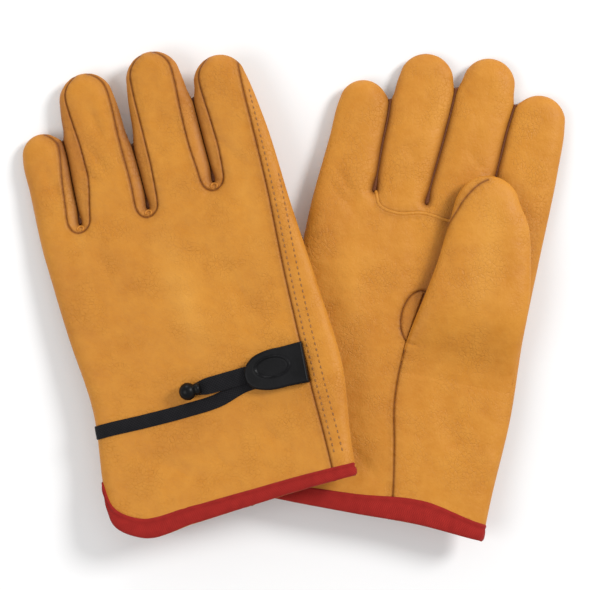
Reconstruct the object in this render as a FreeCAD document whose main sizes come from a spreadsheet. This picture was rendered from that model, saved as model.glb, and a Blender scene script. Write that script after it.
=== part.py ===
import FreeCAD, Part
import math
import os

# A pair of cut-and-sewn leather over-gloves, lying crossed at the cuffs. Millimetres, +Z up.
#
# Each glove is designed in a frame of its own: back up, fingers along +Y, hem at y = 0. The sizes give x as
# positive towards the index finger, and the right glove is the mirror image of the left. Every piece of
# leather is a share of one thin rounded shell, so that neighbours meet face to face along their seams. The
# placements at the end lay the left glove back up on top of the right glove, which lies palm up.

Vec = FreeCAD.Vector
doc = FreeCAD.newDocument("insulating_gloves")

# ---------------------------------------------------------------------------------------------------------
# Driving dimensions
# ---------------------------------------------------------------------------------------------------------

SIZES = {
    "leather": 1.4,
    "hand_thickness": 11.0,
    "edge_rounding": 4.4,
    "fork_radius": 1.0,
    "back_seam_inset": 5.0,
    "front_seam_height": -1.5,
    "cover": 1.0,
    # heights along the glove, from the hem
    "knuckle_level": 146,
    "palm_level": 104,
    "wrist_level": 60,
    "cuff_level": 20,
    "blank_end": -30,
    # thumb
    "thumb_thickness": 9.6,
    "thumb_rounding": 3.8,
    "thumb_gap": 1.3,
    "thumb_hinge_x": 30,
    "thumb_hinge_y": 92,
    "thumb_hinge_slant": 12,
    "thumb_root_slope": 24,
    "left_thumb_shift": -12,
    "right_thumb_shift": 0,
    # welt over the seam below the middle and ring fingers
    "welt_width": 1.8,
    "welt_height": 0.9,
    # thread on the side band
    "stitch_long": 2.2,
    "stitch_wide": 0.7,
    "stitch_high": 0.5,
    "stitch_pitch": 3.2,
    "stitch_row_one": 3.2,
    "stitch_row_two": 7.6,
    # wrist tape, its tail, the ball and the keeper
    "tape_width": 7.5,
    "tail_gap": 0.3,
    "tail_inner_x": 36,
    "tail_inner_y": 65.5,
    "ball_x": -8.6,
    "ball_y": 61.8,
    "ball_radius": 4.7,
    "keeper_height": 5.0,
    "keeper_tunnel_height": 2.9,
    "keeper_tunnel_width": 13.8,
    "keeper_tunnel_depth": 23,
    "keeper_wall": 1.6,
    "keeper_rounding": 1.2,
    "keeper_badge_height": 0.4,
    # where each glove lies
    "left_lean": 10.8,
    "left_roll": -8.0,
    "left_pitch": -4.0,
    "left_x": -35.4,
    "left_y": -111.2,
    "left_z": 30.2,
    "right_lean": -12.0,
    "right_pitch": 3.1,
    "right_x": 41.9,
    "right_y": -114.5,
    "right_z": 18.9,
}

# Half widths of the palm at the four levels, and each finger's tip, in each glove's own frame.
EDGES = {
    "left": {"pinky": (-74.8, -70.1, -63.8, -65.8), "index": (63.9, 69.5, 74.3, 71.3)},
    "right": {"pinky": (-66.3, -66.0, -62.5, -61.0), "index": (61.8, 61.8, 63.7, 62.4)},
}
FINGERS = {
    "left": {
        "pinky": (-65.8, 215.5, 11.8, 11.7),
        "ring": (-37.3, 243.3, 15.2, 16.9),
        "middle": (1.4, 247.2, 15.2, 17.5),
        "index": (36.6, 237.4, 14.4, 17.0),
    },
    "right": {
        "pinky": (-49.3, 226.0, 13.2, 13.9),
        "ring": (-18.4, 247.5, 14.8, 15.2),
        "middle": (16.0, 252.0, 14.4, 15.2),
        "index": (46.4, 237.8, 14.4, 15.8),
    },
}
FORKS = {
    "left": ((-52.0, 163.0), (-13.5, 164.0), (24.5, 171.0)),
    "right": ((-34.0, 168.0), (-4.6, 167.0), (29.0, 172.0)),
}
FINGER_NAMES = ("pinky", "ring", "middle", "index")
LEVELS = ("knuckle", "palm", "wrist", "cuff")
FORK_NAMES = ("pinky_ring", "ring_middle", "middle_index")
for side in ("left", "right"):
    for edge, widths in EDGES[side].items():
        for level, width in zip(LEVELS, widths):
            SIZES[f"{side}_{edge}_edge_{level}"] = width
    for finger, (tip_x, tip_y, tip_half, mid_half) in FINGERS[side].items():
        SIZES[f"{side}_{finger}_tip_x"] = tip_x
        SIZES[f"{side}_{finger}_tip_y"] = tip_y
        SIZES[f"{side}_{finger}_tip_half"] = tip_half
        SIZES[f"{side}_{finger}_mid_half"] = mid_half
    for fork, (fork_x, fork_y) in zip(FORK_NAMES, FORKS[side]):
        SIZES[f"{side}_{fork}_fork_x"] = fork_x
        SIZES[f"{side}_{fork}_fork_y"] = fork_y

sheet = doc.addObject("Spreadsheet::Sheet", "sizes")
for row, (alias, value) in enumerate(SIZES.items(), start=1):
    sheet.set(f"A{row}", alias)
    sheet.set(f"B{row}", str(value))
    sheet.setAlias(f"B{row}", alias)
doc.recompute()


def size(alias):
    return float(sheet.get(alias))


# Seam lines and outlines that both gloves share: x towards the index finger, y from the hem.
BAND_SEAM = {
    "left": ((49.6, 262), (49.8, 222), (51.2, 196), (53.0, 160), (53.6, 110), (56.0, 58), (59.0, 10), (60, -32)),
    "right": ((57.0, 262), (57.0, 222), (56.5, 196), (52.0, 160), (49.5, 110), (49.0, 58), (49.0, 10), (49, -32)),
}
HEM_LINE = {
    "left": ((-100, 70), (-66.0, 25), (-61.5, 8.5), (-50, 1.0), (-20, 1.8), (10, 4.2), (42, 7.0), (100, 10.0)),
    "right": ((-100, -2), (-59.4, 1.7), (-10, 5.0), (27, 8.8), (58, 3.4), (100, 2.0)),
}
HEM_END = {
    "left": ((-100, 60), (-66.8, 22), (-62.5, -2), (-48, -10.6), (-20, -8.0), (10, -4.4), (42, -0.8), (100, 3.5)),
    "right": ((-100, -5), (-59.4, -6.6), (-10, -5.8), (27, -4.6), (58, -6.2), (100, -7.0)),
}
GUNN_SEAM = {
    "left": (
        (-57, 262),
        (-55.0, 222),
        (-53.4, 208),
        (-52.3, 197),
        (-52.1, 172),
        (-47, 158.5),
        (-30, 156.5),
        (-6, 160.5),
        (16, 159.7),
        (24.3, 172),
        (23.4, 192),
        (22.0, 210),
        (21.6, 222),
        (21.6, 262),
    ),
    "right": (
        (-38.6, 262),
        (-36.9, 222),
        (-35.1, 210),
        (-34.7, 192),
        (-34.1, 172),
        (-29, 159.6),
        (-19.8, 157.8),
        (-5.7, 160.8),
        (10, 159.6),
        (22, 160.8),
        (29.0, 174),
        (29.3, 192),
        (29.9, 210),
        (30.9, 222),
        (34.0, 262),
    ),
}
GUNN_WELT = {
    "left": ((-45, 157.2), (-30, 156.5), (-6, 160.5), (17, 159.7)),
    "right": ((-28, 158.6), (-19.8, 157.8), (-5.7, 160.8), (10, 159.6), (22, 160.2)),
}
THUMB_SEAM = ((12, -32), (9.5, 8), (4.5, 35.7), (0.3, 55.8), (-0.7, 68.3), (-0.6, 82.2), (1.2, 100), (4.0, 118))
TAPE_TOP = ((-84, 53.2), (-12, 55.8), (8, 58.4), (22, 63.4), (36, 64.2))
TAPE_BOTTOM = ((36, 56.7), (23, 56.0), (9, 51.0), (-10, 48.3), (-84, 45.7))
THUMB_LEFT = ((0.4, 104), (4.0, 120), (7.2, 140), (9.0, 160))
THUMB_RIGHT = ((50.5, 166), (56.2, 146), (59.6, 126), (60.4, 106))
THUMB_TIP = (27.5, 187.6)
THUMB_TIP_HALF = 17.5
KEYSTONE_CENTRE = (3.6, 104.5)
KEYSTONE_RADII = (15.0, 9.6)
THUMB_HOLE_CENTRE = (26, 108)
THUMB_HOLE_RADII = (12, 7)
KEEPER_RIGHT_X = 56.3
KEEPER_TOP_Y = 76.6
KEEPER_BOTTOM_Y = 54.2
KEEPER_BADGE_CENTRE = (38.5, 66.0)
KEEPER_BADGE_RADII = (9.2, 5.4)


# ---------------------------------------------------------------------------------------------------------
# Sketches and solids
# ---------------------------------------------------------------------------------------------------------

UP = (0, 1)
DOWN = (0, -1)


class Glove:
    """One glove's sizes and its mirror sign: +1 with the index finger at +X, which is the left glove."""

    def __init__(self, side):
        self.side = side
        self.hand = 1 if side == "left" else -1

    def size(self, name):
        return size(f"{self.side}_{name}")

    def at(self, point):
        return Vec(self.hand * point[0], point[1], 0)

    def line(self, start, end):
        return Part.LineSegment(self.at(start), self.at(end))

    def arc(self, start, middle, end):
        return Part.Arc(self.at(start), self.at(middle), self.at(end))

    def spline(self, points, start_direction=None, end_direction=None):
        curve = Part.BSplineCurve()
        places = [self.at(point) for point in points]
        if start_direction is None:
            curve.interpolate(Points=places)
        else:
            curve.interpolate(
                Points=places, InitialTangent=self.at(start_direction), FinalTangent=self.at(end_direction)
            )
        return curve

    def ellipse(self, centre, radii, turn=90):
        """An ellipse with its long radius turned from the index direction towards the fingers."""
        angle = math.radians(turn)
        middle = self.at(centre)
        long_end = middle + self.at((radii[0] * math.cos(angle), radii[0] * math.sin(angle)))
        short_end = middle + self.at((-radii[1] * math.sin(angle), radii[1] * math.cos(angle)))
        return Part.Ellipse(long_end, short_end, middle)


def side_points(glove, edge, inset):
    """The palm's outline on one side, from the blank's end up to the knuckle."""
    inward = inset if edge == "pinky" else -inset
    levels = [size(f"{level}_level") for level in reversed(LEVELS)]
    widths = [glove.size(f"{edge}_edge_{level}") + inward for level in reversed(LEVELS)]
    return [(widths[0], size("blank_end"))] + list(zip(widths, levels))


def knuckle_direction(glove, edge):
    """The outline's direction where the palm's side becomes the finger's side."""
    x_palm = glove.size(f"{edge}_edge_palm")
    x_knuckle = glove.size(f"{edge}_edge_knuckle")
    rise = size("knuckle_level") - size("palm_level")
    return (x_knuckle - x_palm, rise)


def finger_points(glove, finger, base_left, base_right, inset):
    """Points round one finger: its left side, a round tip and its right side."""
    tip_x = glove.size(f"{finger}_tip_x")
    tip_y = glove.size(f"{finger}_tip_y")
    tip_half = glove.size(f"{finger}_tip_half") - inset
    mid_half = glove.size(f"{finger}_mid_half") - inset
    base = ((base_left[0] + base_right[0]) / 2, (base_left[1] + base_right[1]) / 2)
    length = math.hypot(tip_x - base[0], tip_y - base[1])
    along = ((tip_x - base[0]) / length, (tip_y - base[1]) / length)
    across = (along[1], -along[0])

    def place(distance, offset):
        x = base[0] + along[0] * distance + across[0] * offset
        y = base[1] + along[1] * distance + across[1] * offset
        return (x, y)

    tip = length - inset
    shoulder = tip - tip_half
    slant = tip_half * math.sqrt(0.5)
    left = [place(length * 0.5, -mid_half), place(shoulder, -tip_half), place(shoulder + slant, -slant)]
    right = [place(shoulder + slant, slant), place(shoulder, tip_half), place(length * 0.5, mid_half)]
    return [base_left] + left + [place(tip, 0)] + right + [base_right]


def hand_outline(glove, inset):
    """The glove's flat outline, moved inward by inset."""
    radius = size("fork_radius") + inset
    forks = []
    for name in FORK_NAMES:
        fork_x = glove.size(f"{name}_fork_x")
        fork_y = glove.size(f"{name}_fork_y")
        forks.append(((fork_x - radius, fork_y), (fork_x, fork_y - radius), (fork_x + radius, fork_y)))
    pinky_side = side_points(glove, "pinky", inset)
    index_side = side_points(glove, "index", inset)
    pinky_turn = knuckle_direction(glove, "pinky")
    index_turn = knuckle_direction(glove, "index")
    index_down = (-index_turn[0], -index_turn[1])
    bases = [
        (pinky_side[-1], forks[0][0], pinky_turn, DOWN),
        (forks[0][2], forks[1][0], UP, DOWN),
        (forks[1][2], forks[2][0], UP, DOWN),
        (forks[2][2], index_side[-1], UP, index_down),
    ]
    edges = [glove.spline(pinky_side, UP, pinky_turn)]
    for number, finger in enumerate(FINGER_NAMES):
        left, right, start, end = bases[number]
        edges.append(glove.spline(finger_points(glove, finger, left, right, inset), start, end))
        if number < len(forks):
            edges.append(glove.arc(*forks[number]))
    edges.append(glove.spline(index_side[::-1], index_down, DOWN))
    edges.append(glove.line(index_side[0], pinky_side[0]))
    return edges


def cuff_outline(glove, inset):
    """The outline of the palm and cuff alone, moved inward by inset."""
    pinky_side = side_points(glove, "pinky", inset)
    index_side = side_points(glove, "index", inset)
    index_turn = knuckle_direction(glove, "index")
    index_down = (-index_turn[0], -index_turn[1])
    return [
        glove.spline(pinky_side, UP, knuckle_direction(glove, "pinky")),
        glove.line(pinky_side[-1], index_side[-1]),
        glove.spline(index_side[::-1], index_down, DOWN),
        glove.line(index_side[0], pinky_side[0]),
    ]


def thumb_outline(glove, inset):
    """The thumb stall's flat outline, moved inward by inset and along by the glove's own shift."""
    shift = glove.size("thumb_shift")
    half = THUMB_TIP_HALF - inset
    slant = half * math.sqrt(0.5)
    tip_x = THUMB_TIP[0] + shift
    tip_y = THUMB_TIP[1] - inset
    root_y = size("thumb_hinge_y") - 30
    left = [(x + shift + inset, y) for x, y in THUMB_LEFT]
    right = [(x + shift - inset, y) for x, y in THUMB_RIGHT]
    crown = [(tip_x - slant, tip_y - half + slant), (tip_x, tip_y), (tip_x + slant, tip_y - half + slant)]
    left_root = (left[0][0], root_y)
    right_root = (right[-1][0], root_y)
    return [
        glove.line(left_root, left[0]),
        glove.spline(left + crown + right, UP, DOWN),
        glove.line(right[-1], right_root),
        glove.line(right_root, left_root),
    ]


def rounded_pad(name, edges, thickness, rounding, middle_height="0"):
    """A body padded both ways from its middle height, with every edge but the straight end's rounded."""
    body = doc.addObject("PartDesign::Body", name)
    sketch = body.newObject("Sketcher::SketchObject", name + "_outline")
    plane = [item for item in body.Origin.OriginFeatures if item.Role == "XY_Plane"][0]
    sketch.AttachmentSupport = [(plane, "")]
    sketch.MapMode = "FlatFace"
    sketch.addGeometry(edges, False)
    pad = body.newObject("PartDesign::Pad", name + "_pad")
    pad.Profile = sketch
    pad.SideType = "Symmetric"
    pad.setExpression("Length", thickness)
    doc.recompute()
    end_y = min(vertex.Y for vertex in pad.Shape.Vertexes)
    names = []
    for number, edge in enumerate(pad.Shape.Edges, start=1):
        box = edge.BoundBox
        level = box.ZLength < 1e-6
        at_end = box.YMax < end_y + 1e-3
        if level and not at_end:
            names.append(f"Edge{number}")
    fillet = body.newObject("PartDesign::Fillet", name + "_rounding")
    fillet.Base = (pad, names)
    fillet.setExpression("Radius", rounding)
    body.setExpression(".Placement.Base.z", middle_height)
    doc.recompute()
    return body


def prism(name, edges, low, high):
    """A sketch extruded between two heights, which are expressions of the sheet."""
    sketch = doc.addObject("Sketcher::SketchObject", name + "_outline")
    sketch.addGeometry(edges, False)
    solid = doc.addObject("Part::Extrusion", name)
    solid.Base = sketch
    solid.DirMode = "Custom"
    solid.Dir = Vec(0, 0, 1)
    solid.Solid = True
    solid.setExpression("LengthFwd", f"({high}) - ({low})")
    solid.setExpression(".Placement.Base.z", low)
    return solid


def cut(name, base, tool):
    result = doc.addObject("Part::Cut", name)
    result.Base = base
    result.Tool = tool
    return result


def common(name, *shapes):
    result = doc.addObject("Part::MultiCommon", name)
    result.Shapes = list(shapes)
    return result


def fuse(name, *shapes):
    result = doc.addObject("Part::MultiFuse", name)
    result.Shapes = list(shapes)
    return result


def loop(glove, points):
    """A closed polygon."""
    return [glove.line(start, end) for start, end in zip(points, points[1:] + points[:1])]


def beyond(glove, curve_points, far_points):
    """A region with one curved side and straight lines round the rest."""
    edges = [glove.spline(curve_points)]
    corners = [curve_points[-1]] + list(far_points) + [curve_points[0]]
    return edges + [glove.line(start, end) for start, end in zip(corners, corners[1:])]


TOP = "sizes.hand_thickness / 2"
BOTTOM = "-sizes.hand_thickness / 2"
FRONT_SEAM = "sizes.front_seam_height"
FAR = "40"
pieces = {}


def keep(glove, name, shape):
    """Names a finished piece, so that it is placed, checked and written at the end."""
    label = f"{glove.side}_{name}"
    shape.Label = label
    pieces[label] = (glove, shape)


# ---------------------------------------------------------------------------------------------------------
# The hand: one rounded shell, shared out between the pieces of leather
# ---------------------------------------------------------------------------------------------------------


def make_shell(glove):
    """The leather of the hand and cuff before it is cut into pieces, with the thumb's hole in the palm."""
    side = glove.side
    form = rounded_pad(f"{side}_form", hand_outline(glove, 0), "sizes.hand_thickness", "sizes.edge_rounding")
    hollow = rounded_pad(
        f"{side}_hollow",
        hand_outline(glove, size("leather")),
        "sizes.hand_thickness - 2 * sizes.leather",
        "sizes.edge_rounding - sizes.leather",
    )
    shell = cut(f"{side}_shell", form, hollow)
    tuck = [(x, y + size("cover")) for x, y in HEM_END[side]]
    body_side = prism(f"{side}_above_hem", beyond(glove, tuck, [(100, 300), (-100, 300)]), f"-{FAR}", FAR)
    shift = glove.size("thumb_shift")
    hole_centre = (THUMB_HOLE_CENTRE[0] + shift, THUMB_HOLE_CENTRE[1])
    hole = prism(f"{side}_thumb_hole", [glove.ellipse(hole_centre, THUMB_HOLE_RADII, 0)], f"-{FAR}", "0")
    trimmed = common(f"{side}_trimmed_shell", shell, body_side)
    return form, cut(f"{side}_leather", trimmed, hole)


def fork_region(glove, number):
    """The strip of the outline from the middle of one fingertip, round a fork, to the middle of the next."""
    fork_x = glove.size(f"{FORK_NAMES[number]}_fork_x")
    fork_y = glove.size(f"{FORK_NAMES[number]}_fork_y")
    left, right = FINGER_NAMES[number], FINGER_NAMES[number + 1]
    reach = 12
    corners = [(fork_x - reach, fork_y - reach)]
    for finger, order in ((left, (-1, 1)), (right, (1, -1))):
        tip_x = glove.size(f"{finger}_tip_x")
        tip_y = glove.size(f"{finger}_tip_y")
        corners += [(tip_x, tip_y + reach * end) for end in order]
    corners.append((fork_x + reach, fork_y - reach))
    return loop(glove, corners)


def make_leather(glove):
    """Shares the shell out along the seams."""
    side = glove.side
    form, leather = make_shell(glove)
    low, high = f"-{FAR}", FAR
    inner = prism(f"{side}_back_area", hand_outline(glove, size("back_seam_inset")), FRONT_SEAM, high)
    beyond_band = beyond(glove, BAND_SEAM[side], [(110, -32), (110, 262)])
    band = prism(f"{side}_band_area", beyond_band, FRONT_SEAM, high)
    band_piece = common(f"{side}_side_band_piece", leather, band)
    keep(glove, "side_band", band_piece)
    rest = cut(f"{side}_without_band", leather, band)
    keep(glove, "back_panel", common(f"{side}_back_piece", rest, inner))
    rim = cut(f"{side}_without_back", rest, inner)
    for number, fork in enumerate(FORK_NAMES):
        area = prism(f"{side}_{fork}_area", fork_region(glove, number), FRONT_SEAM, high)
        keep(glove, f"{fork}_fourchette", common(f"{side}_{fork}_piece", rim, area))
        rim = cut(f"{side}_without_{fork}", rim, area)
    gunn = prism(f"{side}_gunn_area", beyond(glove, GUNN_SEAM[side], []), low, FRONT_SEAM)
    keep(glove, "middle_ring_front", common(f"{side}_gunn_piece", rim, gunn))
    rim = cut(f"{side}_without_gunn", rim, gunn)
    shift = glove.size("thumb_shift")
    keystone_centre = (KEYSTONE_CENTRE[0] + shift, KEYSTONE_CENTRE[1])
    keystone = prism(f"{side}_keystone_area", [glove.ellipse(keystone_centre, KEYSTONE_RADII)], low, FRONT_SEAM)
    keep(glove, "thumb_keystone", common(f"{side}_keystone_piece", rim, keystone))
    rim = cut(f"{side}_without_keystone", rim, keystone)
    seam = [(x + (shift if y > 60 else 0), y) for x, y in THUMB_SEAM]
    base = prism(f"{side}_thumb_base_area", beyond(glove, seam, [(110, 138), (110, -32)]), low, FRONT_SEAM)
    keep(glove, "thumb_base_panel", common(f"{side}_thumb_base_piece", rim, base))
    keep(glove, "palm_panel", cut(f"{side}_palm_piece", rim, base))
    return form, leather


def make_welt(glove):
    """A raised strip along the seam below the middle and ring fingers."""
    half = size("welt_width") / 2
    middle = GUNN_WELT[glove.side]
    upper = [(x, y + half) for x, y in middle]
    lower = [(x, y - half) for x, y in middle]
    edges = [
        glove.spline(upper),
        glove.line(upper[-1], lower[-1]),
        glove.spline(lower),
        glove.line(lower[0], upper[0]),
    ]
    strip = prism(f"{glove.side}_welt_solid", edges, f"{BOTTOM} - sizes.welt_height", BOTTOM)
    keep(glove, "gunn_welt", common(f"{glove.side}_welt_piece", strip))


def make_covers(glove, form, leather):
    """The hem's binding, folded over the cuff's edge, and the wrist tape, laid over the back."""
    side = glove.side
    cover = rounded_pad(
        f"{side}_cover",
        cuff_outline(glove, -size("cover")),
        "sizes.hand_thickness + 2 * sizes.cover",
        "sizes.edge_rounding + sizes.cover",
    )
    lining = rounded_pad(
        f"{side}_lining",
        cuff_outline(glove, size("leather") + size("cover")),
        "sizes.hand_thickness - 2 * sizes.leather - 2 * sizes.cover",
        "sizes.edge_rounding - sizes.leather - sizes.cover",
    )
    low, high = f"-{FAR}", FAR
    kept = prism(f"{side}_hem_kept", beyond(glove, HEM_END[side], [(100, 300), (-100, 300)]), low, high)
    freed = prism(f"{side}_hem_freed", beyond(glove, HEM_LINE[side], [(100, 300), (-100, 300)]), low, high)
    ring = common(f"{side}_hem_ring", cut(f"{side}_hem_tube", cover, lining), kept)
    ring = cut(f"{side}_hem_band", ring, freed)
    keep(glove, "hem_binding", cut(f"{side}_hem_piece", ring, leather))
    strip = prism(f"{side}_tape_area", loop(glove, list(TAPE_TOP + TAPE_BOTTOM)), FRONT_SEAM, high)
    over = cut(f"{side}_tape_layer", cover, form)
    keep(glove, "wrist_tape", common(f"{side}_tape_piece", over, strip))


def make_stitching(glove):
    """Two rows of thread on the side band, clear of the keeper."""
    seam = Part.BSplineCurve()
    seam.interpolate(Points=[glove.at(point) for point in BAND_SEAM[glove.side]])
    length = seam.length()
    top = size("hand_thickness") / 2
    first_y, last_y = 14, 172
    keeper_low, keeper_high = KEEPER_BOTTOM_Y - 2, KEEPER_TOP_Y + 2
    stitches = []
    for row in (size("stitch_row_one"), size("stitch_row_two")):
        for number in range(int(length / size("stitch_pitch"))):
            parameter = seam.parameterAtDistance(number * size("stitch_pitch"))
            place = seam.value(parameter)
            along = seam.tangent(parameter)[0]
            if not first_y < place.y < last_y or keeper_low < place.y < keeper_high:
                continue
            heading = along if along.y > 0 else -along
            outward = Vec(heading.y, -heading.x, 0) * glove.hand
            centre = place + outward * row
            stitch = Part.makeBox(size("stitch_wide"), size("stitch_long"), size("stitch_high"))
            stitch.translate(Vec(-size("stitch_wide") / 2, -size("stitch_long") / 2, 0))
            turn = math.degrees(math.atan2(-heading.x, heading.y))
            stitch.rotate(Vec(0, 0, 0), Vec(0, 0, 1), turn)
            stitch.translate(Vec(centre.x, centre.y, top))
            stitches.append(stitch)
    rows = doc.addObject("Part::Feature", f"{glove.side}_stitches")
    rows.Shape = Part.makeCompound(stitches)
    keep(glove, "band_stitching", rows)


# ---------------------------------------------------------------------------------------------------------
# The thumb stall: a pouch on the palm, thin at its root, where it hinges
# ---------------------------------------------------------------------------------------------------------


def root_wedge(glove, name, lift):
    """A block over the root's slope, whose lower face rises from the hinge line towards the tip."""
    block = doc.addObject("Part::Box", name)
    block.Length = 200
    block.Width = 200
    block.Height = 60
    slope = math.radians(size("thumb_root_slope"))
    slant = glove.hand * size("thumb_hinge_slant")
    hinge = glove.at((size("thumb_hinge_x") + glove.size("thumb_shift"), size("thumb_hinge_y")))
    floor = -size("hand_thickness") / 2 - size("thumb_gap")
    turn = FreeCAD.Rotation(Vec(0, 0, 1), slant) * FreeCAD.Rotation(Vec(1, 0, 0), -math.degrees(slope))
    corner = turn.multVec(Vec(-100, -100, -60 - lift))
    block.Placement = FreeCAD.Placement(Vec(hinge.x, hinge.y, floor) + corner, turn)
    return block


def make_thumb(glove):
    """The stall's outer and inner halves, which meet at a seam at half its height."""
    side = glove.side
    middle = f"{BOTTOM} - sizes.thumb_gap - sizes.thumb_thickness / 2"
    blank = rounded_pad(
        f"{side}_thumb_form", thumb_outline(glove, 0), "sizes.thumb_thickness", "sizes.thumb_rounding", middle
    )
    hollow = rounded_pad(
        f"{side}_thumb_hollow",
        thumb_outline(glove, size("leather")),
        "sizes.thumb_thickness - 2 * sizes.leather",
        "sizes.thumb_rounding - sizes.leather",
        middle,
    )
    outer_wedge = root_wedge(glove, f"{side}_thumb_root_cut", 0)
    inner_wedge = root_wedge(glove, f"{side}_thumb_inner_cut", -size("leather"))
    form = cut(f"{side}_thumb_blank", blank, outer_wedge)
    inside = cut(f"{side}_thumb_inside", hollow, inner_wedge)
    shell = cut(f"{side}_thumb_shell", form, inside)
    shift = glove.size("thumb_shift")
    hole_centre = (THUMB_HOLE_CENTRE[0] + shift, THUMB_HOLE_CENTRE[1] + 2)
    hole_low = f"{BOTTOM} - sizes.thumb_gap - 3 * sizes.leather"
    hole = prism(f"{side}_stall_hole", [glove.ellipse(hole_centre, THUMB_HOLE_RADII, 0)], hole_low, "0")
    stall = cut(f"{side}_stall", shell, hole)
    outline = loop(glove, [(-60, 40), (110, 40), (110, 230), (-60, 230)])
    far_half = prism(f"{side}_thumb_outer_area", outline, f"-{FAR}", middle)
    keep(glove, "thumb_outer", common(f"{side}_thumb_outer_piece", stall, far_half))
    keep(glove, "thumb_inner", cut(f"{side}_thumb_inner_piece", stall, far_half))


# ---------------------------------------------------------------------------------------------------------
# The pull: tail, ball and keeper
# ---------------------------------------------------------------------------------------------------------


def make_pull(glove):
    """The free end of the tape and the ball on its end. The tail runs over the tape into the keeper."""
    side = glove.side
    inner = glove.at((size("tail_inner_x"), size("tail_inner_y")))
    ball_place = glove.at((size("ball_x"), size("ball_y")))
    run = inner - ball_place
    tail = doc.addObject("Part::Box", f"{side}_tail_strip")
    tail.Length = run.Length
    tail.setExpression("Width", "sizes.tape_width")
    tail.setExpression("Height", "sizes.cover")
    turn = FreeCAD.Rotation(Vec(0, 0, 1), math.degrees(math.atan2(run.y, run.x)))
    level = size("hand_thickness") / 2 + size("cover") + size("tail_gap")
    corner = turn.multVec(Vec(0, -size("tape_width") / 2, 0))
    tail.Placement = FreeCAD.Placement(Vec(ball_place.x, ball_place.y, level) + corner, turn)
    ball = doc.addObject("Part::Sphere", f"{side}_ball_form")
    ball.setExpression("Radius", "sizes.ball_radius")
    height = size("hand_thickness") / 2 + size("tail_gap") + size("ball_radius")
    ball.Placement.Base = Vec(ball_place.x, ball_place.y, height)
    keep(glove, "tape_tail", common(f"{side}_tail_piece", tail))
    keep(glove, "pull_ball", cut(f"{side}_ball_piece", ball, tail))


def make_keeper(glove):
    """A moulded slide with a blunt nose, a tunnel for the tape and its tail, and a plain raised oval."""
    side = glove.side
    body = doc.addObject("PartDesign::Body", f"{side}_keeper_body")
    plane = [item for item in body.Origin.OriginFeatures if item.Role == "XY_Plane"][0]

    def sketch_at(name, height, edges):
        sketch = body.newObject("Sketcher::SketchObject", name)
        sketch.AttachmentSupport = [(plane, "")]
        sketch.MapMode = "FlatFace"
        sketch.AttachmentOffset = FreeCAD.Placement(Vec(0, 0, height), FreeCAD.Rotation())
        sketch.addGeometry(edges, False)
        return sketch

    right, top, bottom = KEEPER_RIGHT_X, KEEPER_TOP_Y, KEEPER_BOTTOM_Y
    nose_x = 21.6
    shoulder_x = 33.0
    nose_half = 5.6
    centre_y = (top + bottom) / 2
    nose_top, nose_bottom = centre_y + nose_half, centre_y - nose_half
    outline = [
        glove.line((right, bottom), (right, top)),
        glove.line((right, top), (shoulder_x, top)),
        glove.spline([(shoulder_x, top), (25.4, 74.2), (nose_x, nose_top)], (-1, 0), DOWN),
        glove.line((nose_x, nose_top), (nose_x, nose_bottom)),
        glove.spline([(nose_x, nose_bottom), (25.4, centre_y * 2 - 74.2), (shoulder_x, bottom)], DOWN, (1, 0)),
        glove.line((shoulder_x, bottom), (right, bottom)),
    ]
    deck = size("hand_thickness") / 2
    pad = body.newObject("PartDesign::Pad", f"{side}_keeper_pad")
    pad.Profile = sketch_at(f"{side}_keeper_outline", deck, outline)
    pad.setExpression("Length", "sizes.keeper_height")
    doc.recompute()
    crown = [
        f"Edge{number}"
        for number, edge in enumerate(pad.Shape.Edges, start=1)
        if edge.BoundBox.ZMin > deck + size("keeper_height") - 1e-3
    ]
    fillet = body.newObject("PartDesign::Fillet", f"{side}_keeper_rounding")
    fillet.Base = (pad, crown)
    fillet.setExpression("Radius", "sizes.keeper_rounding")
    doc.recompute()
    tunnel_right = nose_x + size("keeper_tunnel_depth")
    tunnel_low = bottom + size("keeper_wall")
    tunnel_high = tunnel_low + size("keeper_tunnel_width")
    mouth_x = nose_x - 5
    corners = [(mouth_x, tunnel_low), (tunnel_right, tunnel_low), (tunnel_right, tunnel_high), (mouth_x, tunnel_high)]
    pocket = body.newObject("PartDesign::Pocket", f"{side}_keeper_tunnel")
    pocket.Profile = sketch_at(f"{side}_keeper_tunnel_outline", deck, loop(glove, corners))
    pocket.setExpression("Length", "sizes.keeper_tunnel_height")
    pocket.Reversed = True
    doc.recompute()
    if pocket.Shape.Volume > fillet.Shape.Volume - 100:
        raise SystemExit("the keeper's tunnel cut nothing")
    badge = body.newObject("PartDesign::Pad", f"{side}_keeper_badge")
    badge_top = deck + size("keeper_height") - 0.2
    badge_edges = [glove.ellipse(KEEPER_BADGE_CENTRE, KEEPER_BADGE_RADII, 0)]
    badge.Profile = sketch_at(f"{side}_keeper_badge_outline", badge_top, badge_edges)
    badge.setExpression("Length", "sizes.keeper_badge_height + 0.2")
    doc.recompute()
    keep(glove, "keeper", body)


# ---------------------------------------------------------------------------------------------------------
# The pair, laid out, checked and written
# ---------------------------------------------------------------------------------------------------------


def resting_place(glove):
    """Where a glove's own frame lies in the pair's frame."""
    lean = FreeCAD.Rotation(Vec(0, 0, 1), glove.size("lean"))
    if glove.side == "left":
        roll = FreeCAD.Rotation(Vec(0, 1, 0), size("left_roll"))
        tip = FreeCAD.Rotation(Vec(1, 0, 0), size("left_pitch"))
        turn = lean * tip * roll
    else:
        tip = FreeCAD.Rotation(Vec(1, 0, 0), -size("right_pitch"))
        turn = lean * tip * FreeCAD.Rotation(Vec(0, 1, 0), 180)
    return FreeCAD.Placement(Vec(glove.size("x"), glove.size("y"), glove.size("z")), turn)


for hand_side in ("left", "right"):
    one = Glove(hand_side)
    hand_form, hand_leather = make_leather(one)
    make_welt(one)
    make_covers(one, hand_form, hand_leather)
    make_stitching(one)
    make_thumb(one)
    make_pull(one)
    make_keeper(one)
doc.recompute()

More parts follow.
